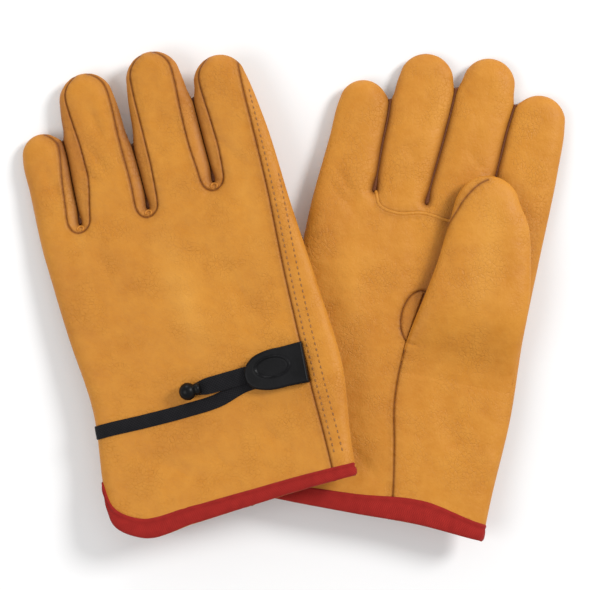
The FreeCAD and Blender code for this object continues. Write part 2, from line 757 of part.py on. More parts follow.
for piece_glove, piece in pieces.values():
    piece.Placement = resting_place(piece_glove).multiply(piece.Placement)
doc.recompute()

# The origin is the middle of the pair's box, on the surface that it lies on.
points = [point for piece_glove, piece in pieces.values() for point in piece.Shape.tessellate(0.05)[0]]
lowest = [min(point[axis] for point in points) for axis in range(3)]
highest = [max(point[axis] for point in points) for axis in range(3)]
origin = Vec((lowest[0] + highest[0]) / 2, (lowest[1] + highest[1]) / 2, lowest[2])
for piece_glove, piece in pieces.values():
    piece.Placement = FreeCAD.Placement(-origin, FreeCAD.Rotation()).multiply(piece.Placement)
doc.recompute()
print(f"origin moved by {-origin.x:.4f}, {-origin.y:.4f}, {-origin.z:.4f}")

faults = [item.Name for item in doc.Objects if "Invalid" in item.State or "Error" in item.State]
for label, (piece_glove, piece) in pieces.items():
    if piece.Shape.isNull() or not piece.Shape.isValid() or not piece.Shape.Solids:
        faults.append(label)
if faults:
    raise SystemExit("failed: " + ", ".join(faults))

os.makedirs("parts", exist_ok=True)
for label, (piece_glove, piece) in pieces.items():
    piece.Shape.exportStep(f"parts/{label}.step")
    solids = len(piece.Shape.Solids)
    print(f"{label}: {piece.Shape.Volume / 1000:.2f} cm3, {solids} solid(s)")
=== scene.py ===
import math

import bmesh
import bpy
import numpy as np
from mathutils import Matrix, Vector, geometry, kdtree, noise


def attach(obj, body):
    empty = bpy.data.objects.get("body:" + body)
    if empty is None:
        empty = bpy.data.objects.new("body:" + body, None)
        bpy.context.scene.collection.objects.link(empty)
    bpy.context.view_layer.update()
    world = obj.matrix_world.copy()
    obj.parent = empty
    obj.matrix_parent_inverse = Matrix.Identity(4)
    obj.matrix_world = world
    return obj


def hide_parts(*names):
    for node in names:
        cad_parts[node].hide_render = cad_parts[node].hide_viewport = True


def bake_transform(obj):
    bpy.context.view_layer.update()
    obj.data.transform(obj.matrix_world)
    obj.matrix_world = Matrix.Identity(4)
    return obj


# A pair of leather over-gloves, crossed at the cuffs. Each glove is made in a frame of its own, in
# millimetres: back up, fingers along +Y, hem near y = 0, x positive towards the index finger. The right
# glove is mirrored. lay_matrix() places both in the shared frame, in metres.

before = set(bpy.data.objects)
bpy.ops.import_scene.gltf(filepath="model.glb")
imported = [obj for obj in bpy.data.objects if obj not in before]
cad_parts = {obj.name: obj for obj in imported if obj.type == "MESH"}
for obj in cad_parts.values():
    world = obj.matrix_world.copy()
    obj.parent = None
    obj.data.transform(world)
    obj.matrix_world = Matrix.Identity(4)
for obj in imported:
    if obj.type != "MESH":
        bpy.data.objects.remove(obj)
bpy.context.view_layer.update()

MM = 0.001

# ---- Sizes, the same as the design's ----

# The hand's edges are x places at these heights, on the pinky and the index side.
LEVELS = (146, 104, 60, 20, -30)
EDGES = {
    "left": {"pinky": (-74.8, -70.1, -63.8, -65.8, -65.8), "index": (63.9, 69.5, 74.3, 71.3, 71.3)},
    "right": {"pinky": (-66.3, -66.0, -62.5, -61.0, -61.0), "index": (61.8, 61.8, 63.7, 62.4, 62.4)},
}
# Each finger's tip x and y, and its half widths at the tip and half way along; pinky to index.
FINGERS = {
    "left": (
        (-65.8, 215.5, 11.8, 11.7), (-37.3, 243.3, 15.2, 16.9), (1.4, 247.2, 15.2, 17.5),
        (36.6, 237.4, 14.4, 17.0),
    ),
    "right": (
        (-49.3, 226.0, 13.2, 13.9), (-18.4, 247.5, 14.8, 15.2), (16.0, 252.0, 14.4, 15.2),
        (46.4, 237.8, 14.4, 15.8),
    ),
}
# The lowest place between two fingers, and its radius.
FORKS = {
    "left": ((-52.0, 163.0), (-13.5, 164.0), (24.5, 171.0)),
    "right": ((-34.0, 168.0), (-4.6, 167.0), (29.0, 172.0)),
}
FORK_RADIUS = 1.0
# Seams and hem lines, as points on a smooth curve.
BAND_SEAM = {
    "left": ((49.6, 262), (49.8, 222), (51.2, 196), (53, 160), (53.6, 110), (56, 58), (59, 10), (60, -32)),
    "right": ((57, 262), (57, 222), (56.5, 196), (52, 160), (49.5, 110), (49, 58), (49, 10), (49, -32)),
}
HEM_LINE = {
    "left": ((-100, 70), (-66, 25), (-61.5, 8.5), (-50, 1), (-20, 1.8), (10, 4.2), (42, 7), (100, 10)),
    "right": ((-100, -2), (-59.4, 1.7), (-10, 5.0), (27, 8.8), (58, 3.4), (100, 2.0)),
}
HEM_END = {
    "left": ((-100, 60), (-66.8, 22), (-62.5, -2), (-48, -10.6), (-20, -8), (10, -4.4), (42, -0.8),
             (100, 3.5)),
    "right": ((-100, -5), (-59.4, -6.6), (-10, -5.8), (27, -4.6), (58, -6.2), (100, -7.0)),
}
GUNN_SEAM = {
    "left": ((-52.1, 172), (-47, 158.5), (-30, 156.5), (-6, 160.5), (16, 159.7), (24.3, 172)),
    "right": ((-34.1, 172), (-29, 159.6), (-19.8, 157.8), (-5.7, 160.8), (10, 159.6), (22, 160.8), (29, 174)),
}
THUMB_SEAM = (
    (12, -32), (9.5, 8), (4.5, 35.7), (0.3, 55.8), (-0.7, 68.3), (-0.6, 82.2), (1.2, 100), (4.0, 118),
)
THUMB_TIP_SEAM = (
    (7.0, 150.0), (9.2, 158.5), (11.4, 164.7), (13.9, 171.4), (17.2, 177.2), (20.2, 181.2), (24.4, 184.6),
)
THUMB_SHIFT = {"left": -12, "right": 0}
THUMB_LEFT = ((1.0, 70), (-0.6, 86), (0.9, 99), (4.0, 117), (7.2, 138), (9.0, 160))
THUMB_RIGHT = ((50.5, 166), (56.2, 146), (59.6, 126), (60.6, 106), (60.6, 86), (60.0, 70))
THUMB_TIP = (27.5, 187.4)
THUMB_TIP_HALF = 17.5
THUMB_HEIGHT = 11.7
THUMB_HALF_THICKNESS = 4.9
KEYSTONE_CENTRE = (3.6, 104.5)
KEYSTONE_RADII = (9.6, 15.0)
TAPE_PATH = ((-60, 49.6), (-36, 50.6), (-12, 52.1), (6, 54.2), (22, 59.4), (36, 60.4))
TAPE_HALF = 3.6
TAIL_PATH = ((-8.6, 61.8), (6, 63.0), (20, 64.2), (36, 65.5))
HALF_THICKNESS = 5.3
ROUNDING = 11.0
LEATHER = 1.1
# The back panel's seam round a fork: its distance below the fork, and from the outline on each side.
FORK_SEAM_INSET = 5.5
FOURCHETTE_WIDTHS = {
    "left": ((4.6, 9.4), (4.6, 6.4), (7.2, 6.8)),
    "right": ((5.0, 6.0), (6.0, 6.0), (6.0, 5.0)),
}
FOURCHETTES = ("pinky_ring_fourchette", "ring_middle_fourchette", "middle_index_fourchette")
STITCH_ROWS = (3.2, 7.6)
STITCH_PITCH = 3.2

LAY = {
    "left": {"lean": 10.8, "pitch": -4.0, "roll": -8.0, "origin": (-34.911, -110.061, 30.183)},
    "right": {"lean": -12.0, "pitch": -3.1, "roll": 180.0, "origin": (42.389, -113.361, 18.883)},
}


def lay_matrix(side):
    """From a glove's own frame, in millimetres, to the shared frame, in metres."""
    lay = LAY[side]
    turn = Matrix.Rotation(math.radians(lay["lean"]), 4, "Z")
    turn = turn @ Matrix.Rotation(math.radians(lay["pitch"]), 4, "X")
    turn = turn @ Matrix.Rotation(math.radians(lay["roll"]), 4, "Y")
    mirror = Matrix.Diagonal((1 if side == "left" else -1, 1, 1, 1))
    return Matrix.Scale(MM, 4) @ Matrix.Translation(Vector(lay["origin"])) @ turn @ mirror


# ---- Curves ----

OUTLINE_STEP = 1.2


def unit(vectors):
    vectors = np.asarray(vectors, float)
    return vectors / np.linalg.norm(vectors, axis=-1, keepdims=True)


def smoothstep(low, high, value):
    t = np.clip((value - low) / (high - low), 0, 1)
    return t * t * (3 - 2 * t)


def rightward(ahead):
    """Flat directions turned a quarter turn to the right."""
    return np.stack([ahead[:, 1], -ahead[:, 0]], axis=1)


def runs_of(points):
    """How far along a polyline each of its points is."""
    steps = np.linalg.norm(np.diff(points, axis=0), axis=1)
    return np.concatenate([[0], np.cumsum(steps)])


def tree_of(points):
    """A search tree of flat points."""
    tree = kdtree.KDTree(len(points))
    for k, point in enumerate(points):
        tree.insert((point[0], point[1], 0), k)
    tree.balance()
    return tree


def search(tree, places):
    """Each place's distance to the nearest point of a tree, and that point's number."""
    found = [tree.find((x, y, 0)) for x, y in places]
    return np.array([f[2] for f in found]), np.array([f[1] for f in found])


def nearest(points, place):
    """The number of the point nearest to a place."""
    return int(np.argmin(np.linalg.norm(points - np.array(place, float), axis=1)))


def softened(points, times):
    """The points with each one drawn towards its neighbours, a number of times."""
    for _ in range(times):
        points[1:-1] = (points[:-2] + 2 * points[1:-1] + points[2:]) / 4
    return points


def resample(points, step):
    """Points at even spacing along a polyline."""
    points = np.asarray(points, float)
    along = runs_of(points)
    count = max(2, int(round(along[-1] / step)) + 1)
    marks = np.linspace(0, along[-1], count)
    return np.stack([np.interp(marks, along, points[:, k]) for k in range(points.shape[1])], axis=1)


def smooth_path(points, step=1.2, start=None, end=None):
    """A smooth curve through points, with optional end directions."""
    points = np.asarray(points, float)
    runs = np.linalg.norm(np.diff(points, axis=0), axis=1)
    slopes = np.diff(points, axis=0) / runs[:, None]
    tangents = np.empty_like(points)
    weight = (runs[1:] / (runs[1:] + runs[:-1]))[:, None]
    tangents[1:-1] = slopes[:-1] * weight + slopes[1:] * (1 - weight)
    tangents[0] = slopes[0] if start is None else np.asarray(start, float)
    tangents[-1] = slopes[-1] if end is None else np.asarray(end, float)
    t = np.linspace(0, 1, 24, endpoint=False)[:, None]
    dense = []
    for k, run in enumerate(runs):
        a, b = points[k], points[k + 1]
        ta, tb = tangents[k] * run, tangents[k + 1] * run
        near = (2 * t**3 - 3 * t**2 + 1) * a + (t**3 - 2 * t**2 + t) * ta
        dense.append(near + (3 * t**2 - 2 * t**3) * b + (t**3 - t**2) * tb)
    dense.append(points[-1:])
    return resample(np.concatenate(dense), step)


def finger_points(finger, base_left, base_right):
    """Points round one finger: its left side, a round tip and its right side."""
    tip_x, tip_y, tip_half, mid_half = finger
    tip = np.array([tip_x, tip_y])
    base = (np.array(base_left) + np.array(base_right)) / 2
    length = np.linalg.norm(tip - base)
    along = (tip - base) / length
    across = np.array([along[1], -along[0]])
    shoulder = length - tip_half
    points = [base + along * length * 0.5 - across * mid_half]
    for angle in np.radians(np.arange(-90, 91, 22.5)):
        out = along * math.cos(angle) + across * math.sin(angle)
        points.append(base + along * shoulder + out * tip_half)
    points.append(base + along * length * 0.5 + across * mid_half)
    return [base_left] + points + [base_right]


def fork_arc(fork):
    angles = np.linspace(math.pi, 2 * math.pi, 5)
    return [(fork[0] + FORK_RADIUS * math.cos(a), fork[1] + FORK_RADIUS * math.sin(a)) for a in angles]


def hand_outline(side, step=OUTLINE_STEP):
    """The outline from the pinky side of the cuff, round the fingers, to the index side of the cuff."""
    pinky = list(zip(EDGES[side]["pinky"], LEVELS))[::-1]
    index = list(zip(EDGES[side]["index"], LEVELS))
    forks = [fork_arc(fork) for fork in FORKS[side]]
    lefts = [pinky[-1], forks[0][-1], forks[1][-1], forks[2][-1]]
    rights = [forks[0][0], forks[1][0], forks[2][0], index[0]]
    pinky_turn = unit(np.subtract(pinky[-1], pinky[-2]))
    index_turn = unit(np.subtract(index[1], index[0]))
    starts = [pinky_turn, (0, 1), (0, 1), (0, 1)]
    ends = [(0, -1), (0, -1), (0, -1), index_turn]
    parts = [smooth_path(pinky, step, (0, 1), pinky_turn)]
    for k in range(4):
        points = finger_points(FINGERS[side][k], lefts[k], rights[k])
        parts.append(smooth_path(points, step, starts[k], ends[k])[1:])
        if k < 3:
            parts.append(np.array(forks[k])[1:-1])
    parts.append(smooth_path(index, step, index_turn, (0, -1))[1:])
    return np.concatenate(parts)


def thumb_outline(side, step=OUTLINE_STEP):
    shift = THUMB_SHIFT[side]
    angles = np.radians(np.arange(-70, 71, 20))
    tip = np.array(THUMB_TIP) + np.column_stack([np.sin(angles), np.cos(angles) - 1]) * THUMB_TIP_HALF
    points = [(x + shift, y) for x, y in [*THUMB_LEFT, *tip, *THUMB_RIGHT]]
    return smooth_path(points, step)


class Outline:
    """A polyline with a quick distance to it."""

    def __init__(self, points):
        self.points = np.asarray(points, float)
        self.tree = tree_of(resample(self.points, 0.3))

    def distance(self, places):
        return search(self.tree, places)[0]


def height_at(curve, x):
    """A curve's y at x, for a curve that runs one way in x."""
    order = np.argsort(curve[:, 0])
    return np.interp(x, curve[order, 0], curve[order, 1])


def inside(polygon, places):
    """Which places lie in a closed polygon."""
    polygon = np.asarray(polygon)
    x, y = places[:, 0], places[:, 1]
    result = np.zeros(len(places), bool)
    ends = np.roll(polygon, -1, axis=0)
    for (ax, ay), (bx, by) in zip(polygon, ends):
        if ay == by:
            continue
        crosses = ((ay > y) != (by > y)) & (x < (bx - ax) * (y - ay) / (by - ay) + ax)
        result ^= crosses
    return result


# ---- Sheets of leather ----

RINGS = (0.2, 0.65, 1.3, 2.2, 3.3, 4.6, 6.2, 8.0)
GRID = 1.9
SEAM_ROWS = (-2.0, -1.2, -0.6, -0.25, 0.0, 0.25, 0.6, 1.2, 2.0)


def crown(distance, rounding=ROUNDING):
    """How high an inflated skin stands at a distance from its outline, from 0 to 1."""
    t = np.clip(1 - distance / rounding, 0, 1)
    return (1 - t**2.3) ** 0.5


def offset_ring(outline, polygon, inset):
    """The outline moved inward, without the places where it would cross itself."""
    points = outline.points
    ahead = np.roll(points, -1, axis=0) - np.roll(points, 1, axis=0)
    ahead[0] = points[1] - points[0]
    ahead[-1] = points[-1] - points[-2]
    moved = points + rightward(unit(ahead)) * inset
    keep = (outline.distance(moved) > inset - 0.12) & inside(polygon, moved)
    return moved, keep


def flat_mesh(outline, closing, seams, rings=RINGS, spacing=GRID):
    """A flat net of triangles inside an outline and its closing line, with edges along the seams."""
    polygon = np.concatenate([outline.points, closing])
    points = [tuple(p) for p in polygon]
    edges = [(k, (k + 1) % len(points)) for k in range(len(points))]
    lines = []
    for inset in rings:
        moved, keep = offset_ring(outline, polygon, inset)
        points += [tuple(place) for place in moved[keep]]
    for seam in seams:
        across = rightward(unit(np.gradient(seam, axis=0)))
        for offset in SEAM_ROWS:
            row = seam + across * offset
            kept = inside(polygon, row) & (outline.distance(row) > 0.3)
            last = None
            for k in range(len(row)):
                if not kept[k]:
                    last = None
                    continue
                if last is not None and offset == 0:
                    edges.append((last, len(points)))
                last = len(points)
                points.append(tuple(row[k]))
                lines.append(row[k])
    low, high = polygon.min(axis=0), polygon.max(axis=0)
    grid = []
    for number, y in enumerate(np.arange(low[1], high[1], spacing * math.sqrt(0.75))):
        xs = np.arange(low[0] + (number % 2) * spacing / 2, high[0], spacing)
        grid.append(np.stack([xs, np.full_like(xs, y)], axis=1))
    grid = np.concatenate(grid)
    grid = grid[inside(polygon, grid)]
    grid = grid[outline.distance(grid) > rings[-1] + spacing * 0.6]
    if lines:
        grid = grid[search(tree_of(lines), grid)[0] > 1.0]
    points += [tuple(p) for p in grid]
    result = geometry.delaunay_2d_cdt([Vector(p) for p in points], edges, [], 1, 1e-4)
    places = np.array([(v.x, v.y) for v in result[0]])
    faces = np.array([tuple(face) for face in result[2] if len(face) == 3])
    middles = places[faces].mean(axis=1)
    return places, faces[inside(polygon, middles)]


def ripple(places, seed, scale):
    """Smooth noise over flat places, about -1 to 1."""
    return np.array([noise.noise(Vector((x / scale, y / scale, seed * 7.3))) for x, y in places])


def crease_depth(places, creases):
    """Soft folds: each runs between two places, with a depth and a width."""
    total = np.zeros(len(places))
    for (ax, ay), (bx, by), depth, width in creases:
        a = np.array([ax, ay], float)
        run = np.array([bx - ax, by - ay], float)
        length = np.linalg.norm(run)
        t = np.clip(((places - a) @ run) / length**2, 0, 1)
        gap = np.linalg.norm(places - (a + t[:, None] * run), axis=1)
        fade = np.sin(np.clip(t, 0.02, 0.98) * math.pi) ** 0.5
        total += depth * fade * np.exp(-((gap / width) ** 2))
    return total


def net_faces(rows, columns, around=True, closed=False):
    """Faces of a net: around joins the ends of each row, and closed joins the last row to the first."""
    faces = []
    for k in range(rows if closed else rows - 1):
        ahead = (k + 1) % rows * columns
        for j in range(columns if around else columns - 1):
            beside = (j + 1) % columns
            faces.append((k * columns + j, k * columns + beside, ahead + beside, ahead + j))
    return faces


def mark(piece, name, values):
    """Gives each vertex a value that the leather's material reads."""
    layer = piece.data.attributes.new(name, "FLOAT", "POINT")
    layer.data.foreach_set("value", np.asarray(values, np.float32))


def weave_map(piece, runs, around):
    """Lays the weave's map over a net: along its rows and around each row, in metres."""
    layer = piece.data.uv_layers.new(name="weave")
    for loop in piece.data.loops:
        k, j = divmod(loop.vertex_index, len(around))
        layer.data[loop.index].uv = (runs[k], around[j])


def make_mesh(name, vertices, faces, matrix):
    """A smooth mesh object from a glove's own frame, with its faces turned outward for a mirrored glove."""
    mesh = bpy.data.meshes.new(name)
    if matrix.determinant() < 0:
        faces = [tuple(face)[::-1] for face in faces]
    mesh.from_pydata([tuple(v) for v in vertices], [], [tuple(int(i) for i in face) for face in faces])
    mesh.transform(matrix)
    mesh.update()
    mesh.shade_smooth()
    piece = bpy.data.objects.new(name, mesh)
    bpy.context.scene.collection.objects.link(piece)
    return piece


def thicken(piece, thickness):
    """Gives an open sheet its thickness, inward, and keeps the result as its mesh."""
    modifier = piece.modifiers.new("thickness", "SOLIDIFY")
    modifier.thickness = thickness
    modifier.offset = -1
    modifier.use_quality_normals = True
    graph = bpy.context.evaluated_depsgraph_get()
    mesh = bpy.data.meshes.new_from_object(piece.evaluated_get(graph))
    piece.modifiers.clear()
    old = piece.data
    piece.data = mesh
    bpy.data.meshes.remove(old)
    piece.data.shade_smooth()


# ---- One hand: its outline, its seams and the height of its skins ----

GRAIN_SEED = {"left": 3, "right": 8}
# Fingers bulge together where their gap is narrow, until GAP_LEFT is left on each side of its middle.
GAP_OPEN, GAP_SHUT, GAP_LEFT = 4.6, 2.9, 0.22
# Each crease runs from one place to another, with its height and its half width.
BACK_CREASES = {
    "left": (
        ((-36.0, 226), (-30.5, 205), -0.9, 2.4),
        ((-40.5, 206), (-31.5, 186), -0.8, 2.2),
        ((-45.0, 192), (-36.0, 180), -0.7, 2.0),
        ((-66.0, 198), (-60.0, 178), -0.7, 2.2),
        ((-8.5, 208), (0.5, 188), -0.7, 2.4),
        ((16.0, 160), (33.0, 172), -0.8, 2.2),
        ((14.0, 152), (31.0, 164), -0.6, 2.4),
        ((29.0, 196), (41.0, 178), -0.6, 2.4),
        ((-9.0, 150), (5.0, 74), 0.8, 9.0),
        ((-46.0, 158), (-36.0, 110), -0.6, 4.0),
        ((-58.0, 150), (-54.0, 100), 0.5, 6.0),
        ((18.0, 138), (32.0, 96), -0.7, 6.0),
        ((-20.0, 42), (8.0, 26), 0.5, 5.0),
        ((-46.0, 36), (-8.0, 14), -0.5, 4.0),
        ((20.0, 40), (44.0, 18), -0.5, 4.0),
    ),
    "right": (
        ((-30.0, 226), (-22.0, 196), -0.6, 2.6),
        ((-4.0, 150), (8.0, 84), 0.6, 8.0),
    ),
}
PALM_CREASES = {
    "left": (
        ((-30.0, 150), (20.0, 140), -0.5, 3.0),
    ),
    "right": (
        ((-58.0, 176), (-40.0, 158), -0.8, 2.2),
        ((-60.0, 168), (-38.0, 150), -0.6, 2.6),
        ((-24.0, 196), (-14.0, 186), -0.5, 2.2),
        ((10.0, 200), (22.0, 190), -0.5, 2.2),
        ((-6.0, 156), (-2.0, 112), -1.2, 6.0),
        ((-16.5, 28), (6.5, 10), -0.7, 2.6),
        ((-50.0, 62), (-24.0, 20), -0.6, 6.0),
        ((-40.0, 140), (-30.0, 90), 0.6, 8.0),
        ((24.0, 70), (40.0, 30), -0.8, 6.0),
        ((40.0, 84), (52.0, 50), 0.6, 6.0),
    ),
}
# Painted highlights: paler streaks, mostly on raised ridges and along the crowns of the fingers and the
# thumb; each runs from one place to another, with its strength and its half width.
PAINTED_HIGHLIGHTS = {
    ("left", "back"): (
        ((-9, 150), (5, 74), 0.75, 8.0),
        ((-57, 200), (-50, 130), 0.4, 5.0),
        ((40, 215), (42, 120), 0.3, 6.0),
    ),
    ("right", "palm"): (((-40, 140), (-30, 90), 0.35, 9.0), ((-8, 235), (-6, 180), 0.3, 6.0)),
}
# The thumb's painted highlight, along its crown.
THUMB_PAINTED_HIGHLIGHTS = (((30, 180), (34, 110), 1.0, 8.0),)
THUMB_CREASES = (
    ((13.0, 178), (24.0, 186), -0.4, 1.6),
    ((44.0, 172), (53.0, 150), -0.5, 3.0),
    ((8.0, 150), (16.0, 120), -0.6, 4.0),
    ((50.0, 132), (40.0, 96), 0.6, 6.0),
)


class Seam:
    """A sewn line on a skin."""

    def __init__(self, curve):
        self.curve = np.asarray(curve, float)
        fine = resample(self.curve, 0.35)
        self.runs = runs_of(fine)
        self.tree = tree_of(fine)

    def groove(self, places, depth=0.75, width=0.55, pucker=0.3):
        """The dent of the thread with a lip and slight puckers beside it, and the distance to the line."""
        distance, index = search(self.tree, places)
        along = self.runs[index]
        dent = -depth * np.exp(-((distance / width) ** 2)) - 0.35 * np.exp(-((distance / 2.4) ** 2))
        dent += 0.3 * np.exp(-(((distance - 1.15) / 0.5) ** 2))
        wave = 0.5 + 0.5 * np.cos(along * 2 * math.pi / 5.6 + np.sin(along * 0.21) * 1.4)
        return dent - pucker * wave * np.exp(-((distance / 3.4) ** 2)), distance


def fork_place(side, number):
    """The lowest point between two fingers."""
    return np.array([FORKS[side][number][0], FORKS[side][number][1] - FORK_RADIUS])


def fork_span(side, points, number):
    """The numbers of the outline's points at one fingertip, at the fork and at the next fingertip."""
    left_tip, right_tip = FINGERS[side][number][:2], FINGERS[side][number + 1][:2]
    return nearest(points, left_tip), nearest(points, fork_place(side, number)), nearest(points, right_tip)


def fork_seam(side, points, number):
    """The sewn edge of the back panel round one fork, and the strip between it and the outline."""
    first, middle, last = fork_span(side, points, number)
    first += 3
    last -= 3
    left_width, right_width = FOURCHETTE_WIDTHS[side][number]
    index = np.arange(first, last + 1)
    share = np.where(index < middle, (index - first) / (middle - first), (last - index) / (last - middle))
    width = np.where(index < middle, left_width, right_width)
    base = smoothstep(0.70, 1.0, share)
    rising = 0.5 + (width - 0.5) * np.sin(np.clip(share / 0.75, 0, 1) * math.pi / 2)
    inset = rising * (1 - base) + FORK_SEAM_INSET * base
    ahead = np.roll(points, -1, axis=0) - np.roll(points, 1, axis=0)
    across = rightward(unit(ahead))[first : last + 1]
    curve = softened(resample(points[first : last + 1] + across * inset[:, None], 1.0), 12)
    strip = np.concatenate([curve, points[first : last + 1][::-1]])
    return curve, strip


def close_gaps(side, points):
    """How far each outline point bulges towards the next finger, where two fingers lie close."""
    moves = np.zeros_like(points)
    for number, fork in enumerate(FORKS[side]):
        first, middle, last = fork_span(side, points, number)
        left, right = np.arange(first, middle - 3), np.arange(middle + 3, last)
        for here, there in ((left, right), (right, left)):
            span = points[there][None] - points[here][:, None]
            gap = np.linalg.norm(span, axis=2)
            best = gap.argmin(axis=1)
            gap = gap.min(axis=1)
            towards = span[np.arange(len(here)), best] / gap[:, None]
            share = smoothstep(GAP_OPEN, GAP_SHUT, gap) * smoothstep(1.0, 8.0, points[here][:, 1] - fork[1])
            moves[here] = towards * (np.maximum(gap / 2 - GAP_LEFT, 0) * share)[:, None]
    return softened(moves, 4)


class Hand:
    """One glove's hand and thumb: their outlines and seams, and the height of their skins."""

    def __init__(self, side):
        shift = THUMB_SHIFT[side]
        self.side = side
        self.outline = Outline(hand_outline(side))
        self.thumb = Outline(thumb_outline(side))
        index_end, pinky_end = EDGES[side]["index"][-1], EDGES[side]["pinky"][-1]
        below = LEVELS[-1] - 0.05
        self.closing = np.array([(index_end - 0.1, below), (pinky_end + 0.1, below)])
        self.polygon = np.concatenate([self.outline.points, self.closing])
        thumb_seam = [(x + shift * min(1, max(0, (y - 20) / 40)), y) for x, y in THUMB_SEAM]
        angles = np.radians(np.arange(60, 301, 12))
        self.keystone_centre = np.array(KEYSTONE_CENTRE) + [shift, 0]
        keystone = self.keystone_centre + np.column_stack([np.cos(angles), np.sin(angles)]) * KEYSTONE_RADII
        self.band = Seam(smooth_path(BAND_SEAM[side]))
        self.gunn = Seam(smooth_path(GUNN_SEAM[side]))
        self.thumb_seam = Seam(smooth_path(thumb_seam))
        self.keystone = Seam(keystone)
        first, last = (nearest(self.outline.points, FINGERS[side][k][:2]) for k in (0, 3))
        self.gaps = Outline(self.outline.points[first + 12 : last - 12])
        self.closing_moves = close_gaps(side, self.outline.points)
        fork_seams = [fork_seam(side, self.outline.points, k) for k in range(3)]
        self.forks = [Seam(curve) for curve, _ in fork_seams]
        self.strips = [strip for _, strip in fork_seams]
        self.thumb_tip = Seam(smooth_path([(x + shift, y) for x, y in THUMB_TIP_SEAM]))
        self.hem_line = smooth_path(HEM_LINE[side])
        self.hem_end = smooth_path(HEM_END[side])

    def bulged(self, places):
        """Flat places moved towards the next finger near a closed gap."""
        distance, index = search(tree_of(self.outline.points), places)
        near = 1 - smoothstep(0.0, 5.5, distance)
        return places + self.closing_moves[index] * near[:, None]

    def calm(self, places):
        """How freely the skin rolls: much less under the strap and keeper."""
        y = places[:, 1]
        strap = smoothstep(34, 44, y) * (1 - smoothstep(80, 92, y))
        return 1 - 0.85 * strap

    def skin(self, places, seed):
        """An inflated skin with soft rolls of three sizes, before its seams and creases."""
        distance = self.outline.distance(places)
        height = HALF_THICKNESS * crown(distance)
        rolling = ripple(places, seed, 40) + 0.5 * ripple(places, seed + 1, 17)
        rolling += 0.16 * ripple(places, seed + 2, 6)
        return distance, height + rolling * crown(distance, 7) * self.calm(places)

    def grooved(self, places, height, seams):
        """The height with grooves along the seams, and the distance to the nearest seam."""
        near = np.full(len(places), 99.0)
        for seam in seams:
            groove, gap = seam.groove(places)
            height = height + groove
            near = np.minimum(near, gap)
        return height, near

    def back(self, places):
        distance, height = self.skin(places, GRAIN_SEED[self.side])
        height, near = self.grooved(places, height, [self.band, *self.forks])
        height += crease_depth(places, BACK_CREASES[self.side]) * self.calm(places) * crown(distance, 6)
        return height, near

    def palm(self, places):
        distance, height = self.skin(places, GRAIN_SEED[self.side] + 20)
        height, near = self.grooved(places, height, [self.gunn, self.thumb_seam, self.keystone])
        height += crease_depth(places, PALM_CREASES[self.side]) * crown(distance, 6)
        pressed = (places[:, 1] < 92) | (self.side == "left")
        return np.where(pressed, np.minimum(height, HALF_THICKNESS + 0.1), height), near

    def thumb_skins(self, places):
        """Heights of the thumb's outer and inner skins, measured outward from the middle of the hand."""
        y = places[:, 1]
        seed = GRAIN_SEED[self.side] + 40
        distance = self.thumb.distance(places)
        palm, near = self.palm(places)
        away = smoothstep(80, 122, y)
        base = palm * (1 - away) + THUMB_HEIGHT * away
        half = THUMB_HALF_THICKNESS * smoothstep(74, 112, y)
        roll = 0.5 * ripple(places, seed, 26) + 0.25 * ripple(places, seed + 1, 10)
        creases = crease_depth(places - np.array([THUMB_SHIFT[self.side], 0]), THUMB_CREASES)
        puff = crown(distance, 12)
        lip = 0.6 * smoothstep(69, 80, y) - 0.35
        groove, gap = self.thumb_tip.groove(places, 0.6)
        near = np.minimum(np.where(y < 86, near, 99), gap)
        creases += groove
        outer = base + half * puff + (roll + creases) * smoothstep(84, 110, y) * crown(distance, 7) + lip
        inner = base - half * puff * 0.98 - LEATHER * (1 - away)
        return outer, inner, near, distance


def panels_of(hand, places, faces):
    """The name of the panel that each face belongs to, on the back and on the palm."""
    middles = places[faces].mean(axis=1)
    x, y = middles[:, 0], middles[:, 1]
    forks = FORKS[hand.side]
    back = np.full(len(faces), "back_panel", dtype=object)
    for name, strip in zip(FOURCHETTES, hand.strips):
        back[inside(strip, middles)] = name
    seam_x = np.interp(-y, -hand.band.curve[:, 1], hand.band.curve[:, 0])
    back[x > seam_x] = "side_band"
    palm = np.full(len(faces), "palm_panel", dtype=object)
    gunn_y = np.interp(x, hand.gunn.curve[:, 0], hand.gunn.curve[:, 1])
    middle = (x > hand.gunn.curve[0, 0]) & (x < hand.gunn.curve[-1, 0]) & (y > gunn_y)
    (left_x, left_y), (right_x, right_y) = forks[0], forks[2]
    palm[middle & (x > left_x - 30)] = "middle_ring_front"
    ring_side = left_x + (FINGERS[hand.side][0][0] - left_x) * np.clip((y - left_y) / 60, 0, 1)
    index_side = right_x + (FINGERS[hand.side][3][0] - right_x) * np.clip((y - right_y) / 60, 0, 1)
    high = (y > left_y + 6) & (x > (ring_side + left_x) / 2) & (x < (index_side + right_x) / 2)
    palm[high & (y > 176)] = "middle_ring_front"
    palm[(x < left_x - 1.5) & (y < 240) & (x < ring_side)] = "palm_panel"
    thumb_x = np.interp(y, hand.thumb_seam.curve[:, 1], hand.thumb_seam.curve[:, 0])
    palm[(x > thumb_x) & (y < 118)] = "thumb_base_panel"
    oval = (((middles - hand.keystone_centre) / KEYSTONE_RADII) ** 2).sum(axis=1)
    palm[oval < 1] = "thumb_keystone"
    return back, palm


# ---- Materials ----


def node_material(name):
    material = bpy.data.materials.new(name)
    material.use_nodes = True
    nodes = material.node_tree.nodes
    nodes.clear()
    output = nodes.new("ShaderNodeOutputMaterial")
    shader = nodes.new("ShaderNodeBsdfPrincipled")
    material.node_tree.links.new(shader.outputs[0], output.inputs[0])
    return material, shader


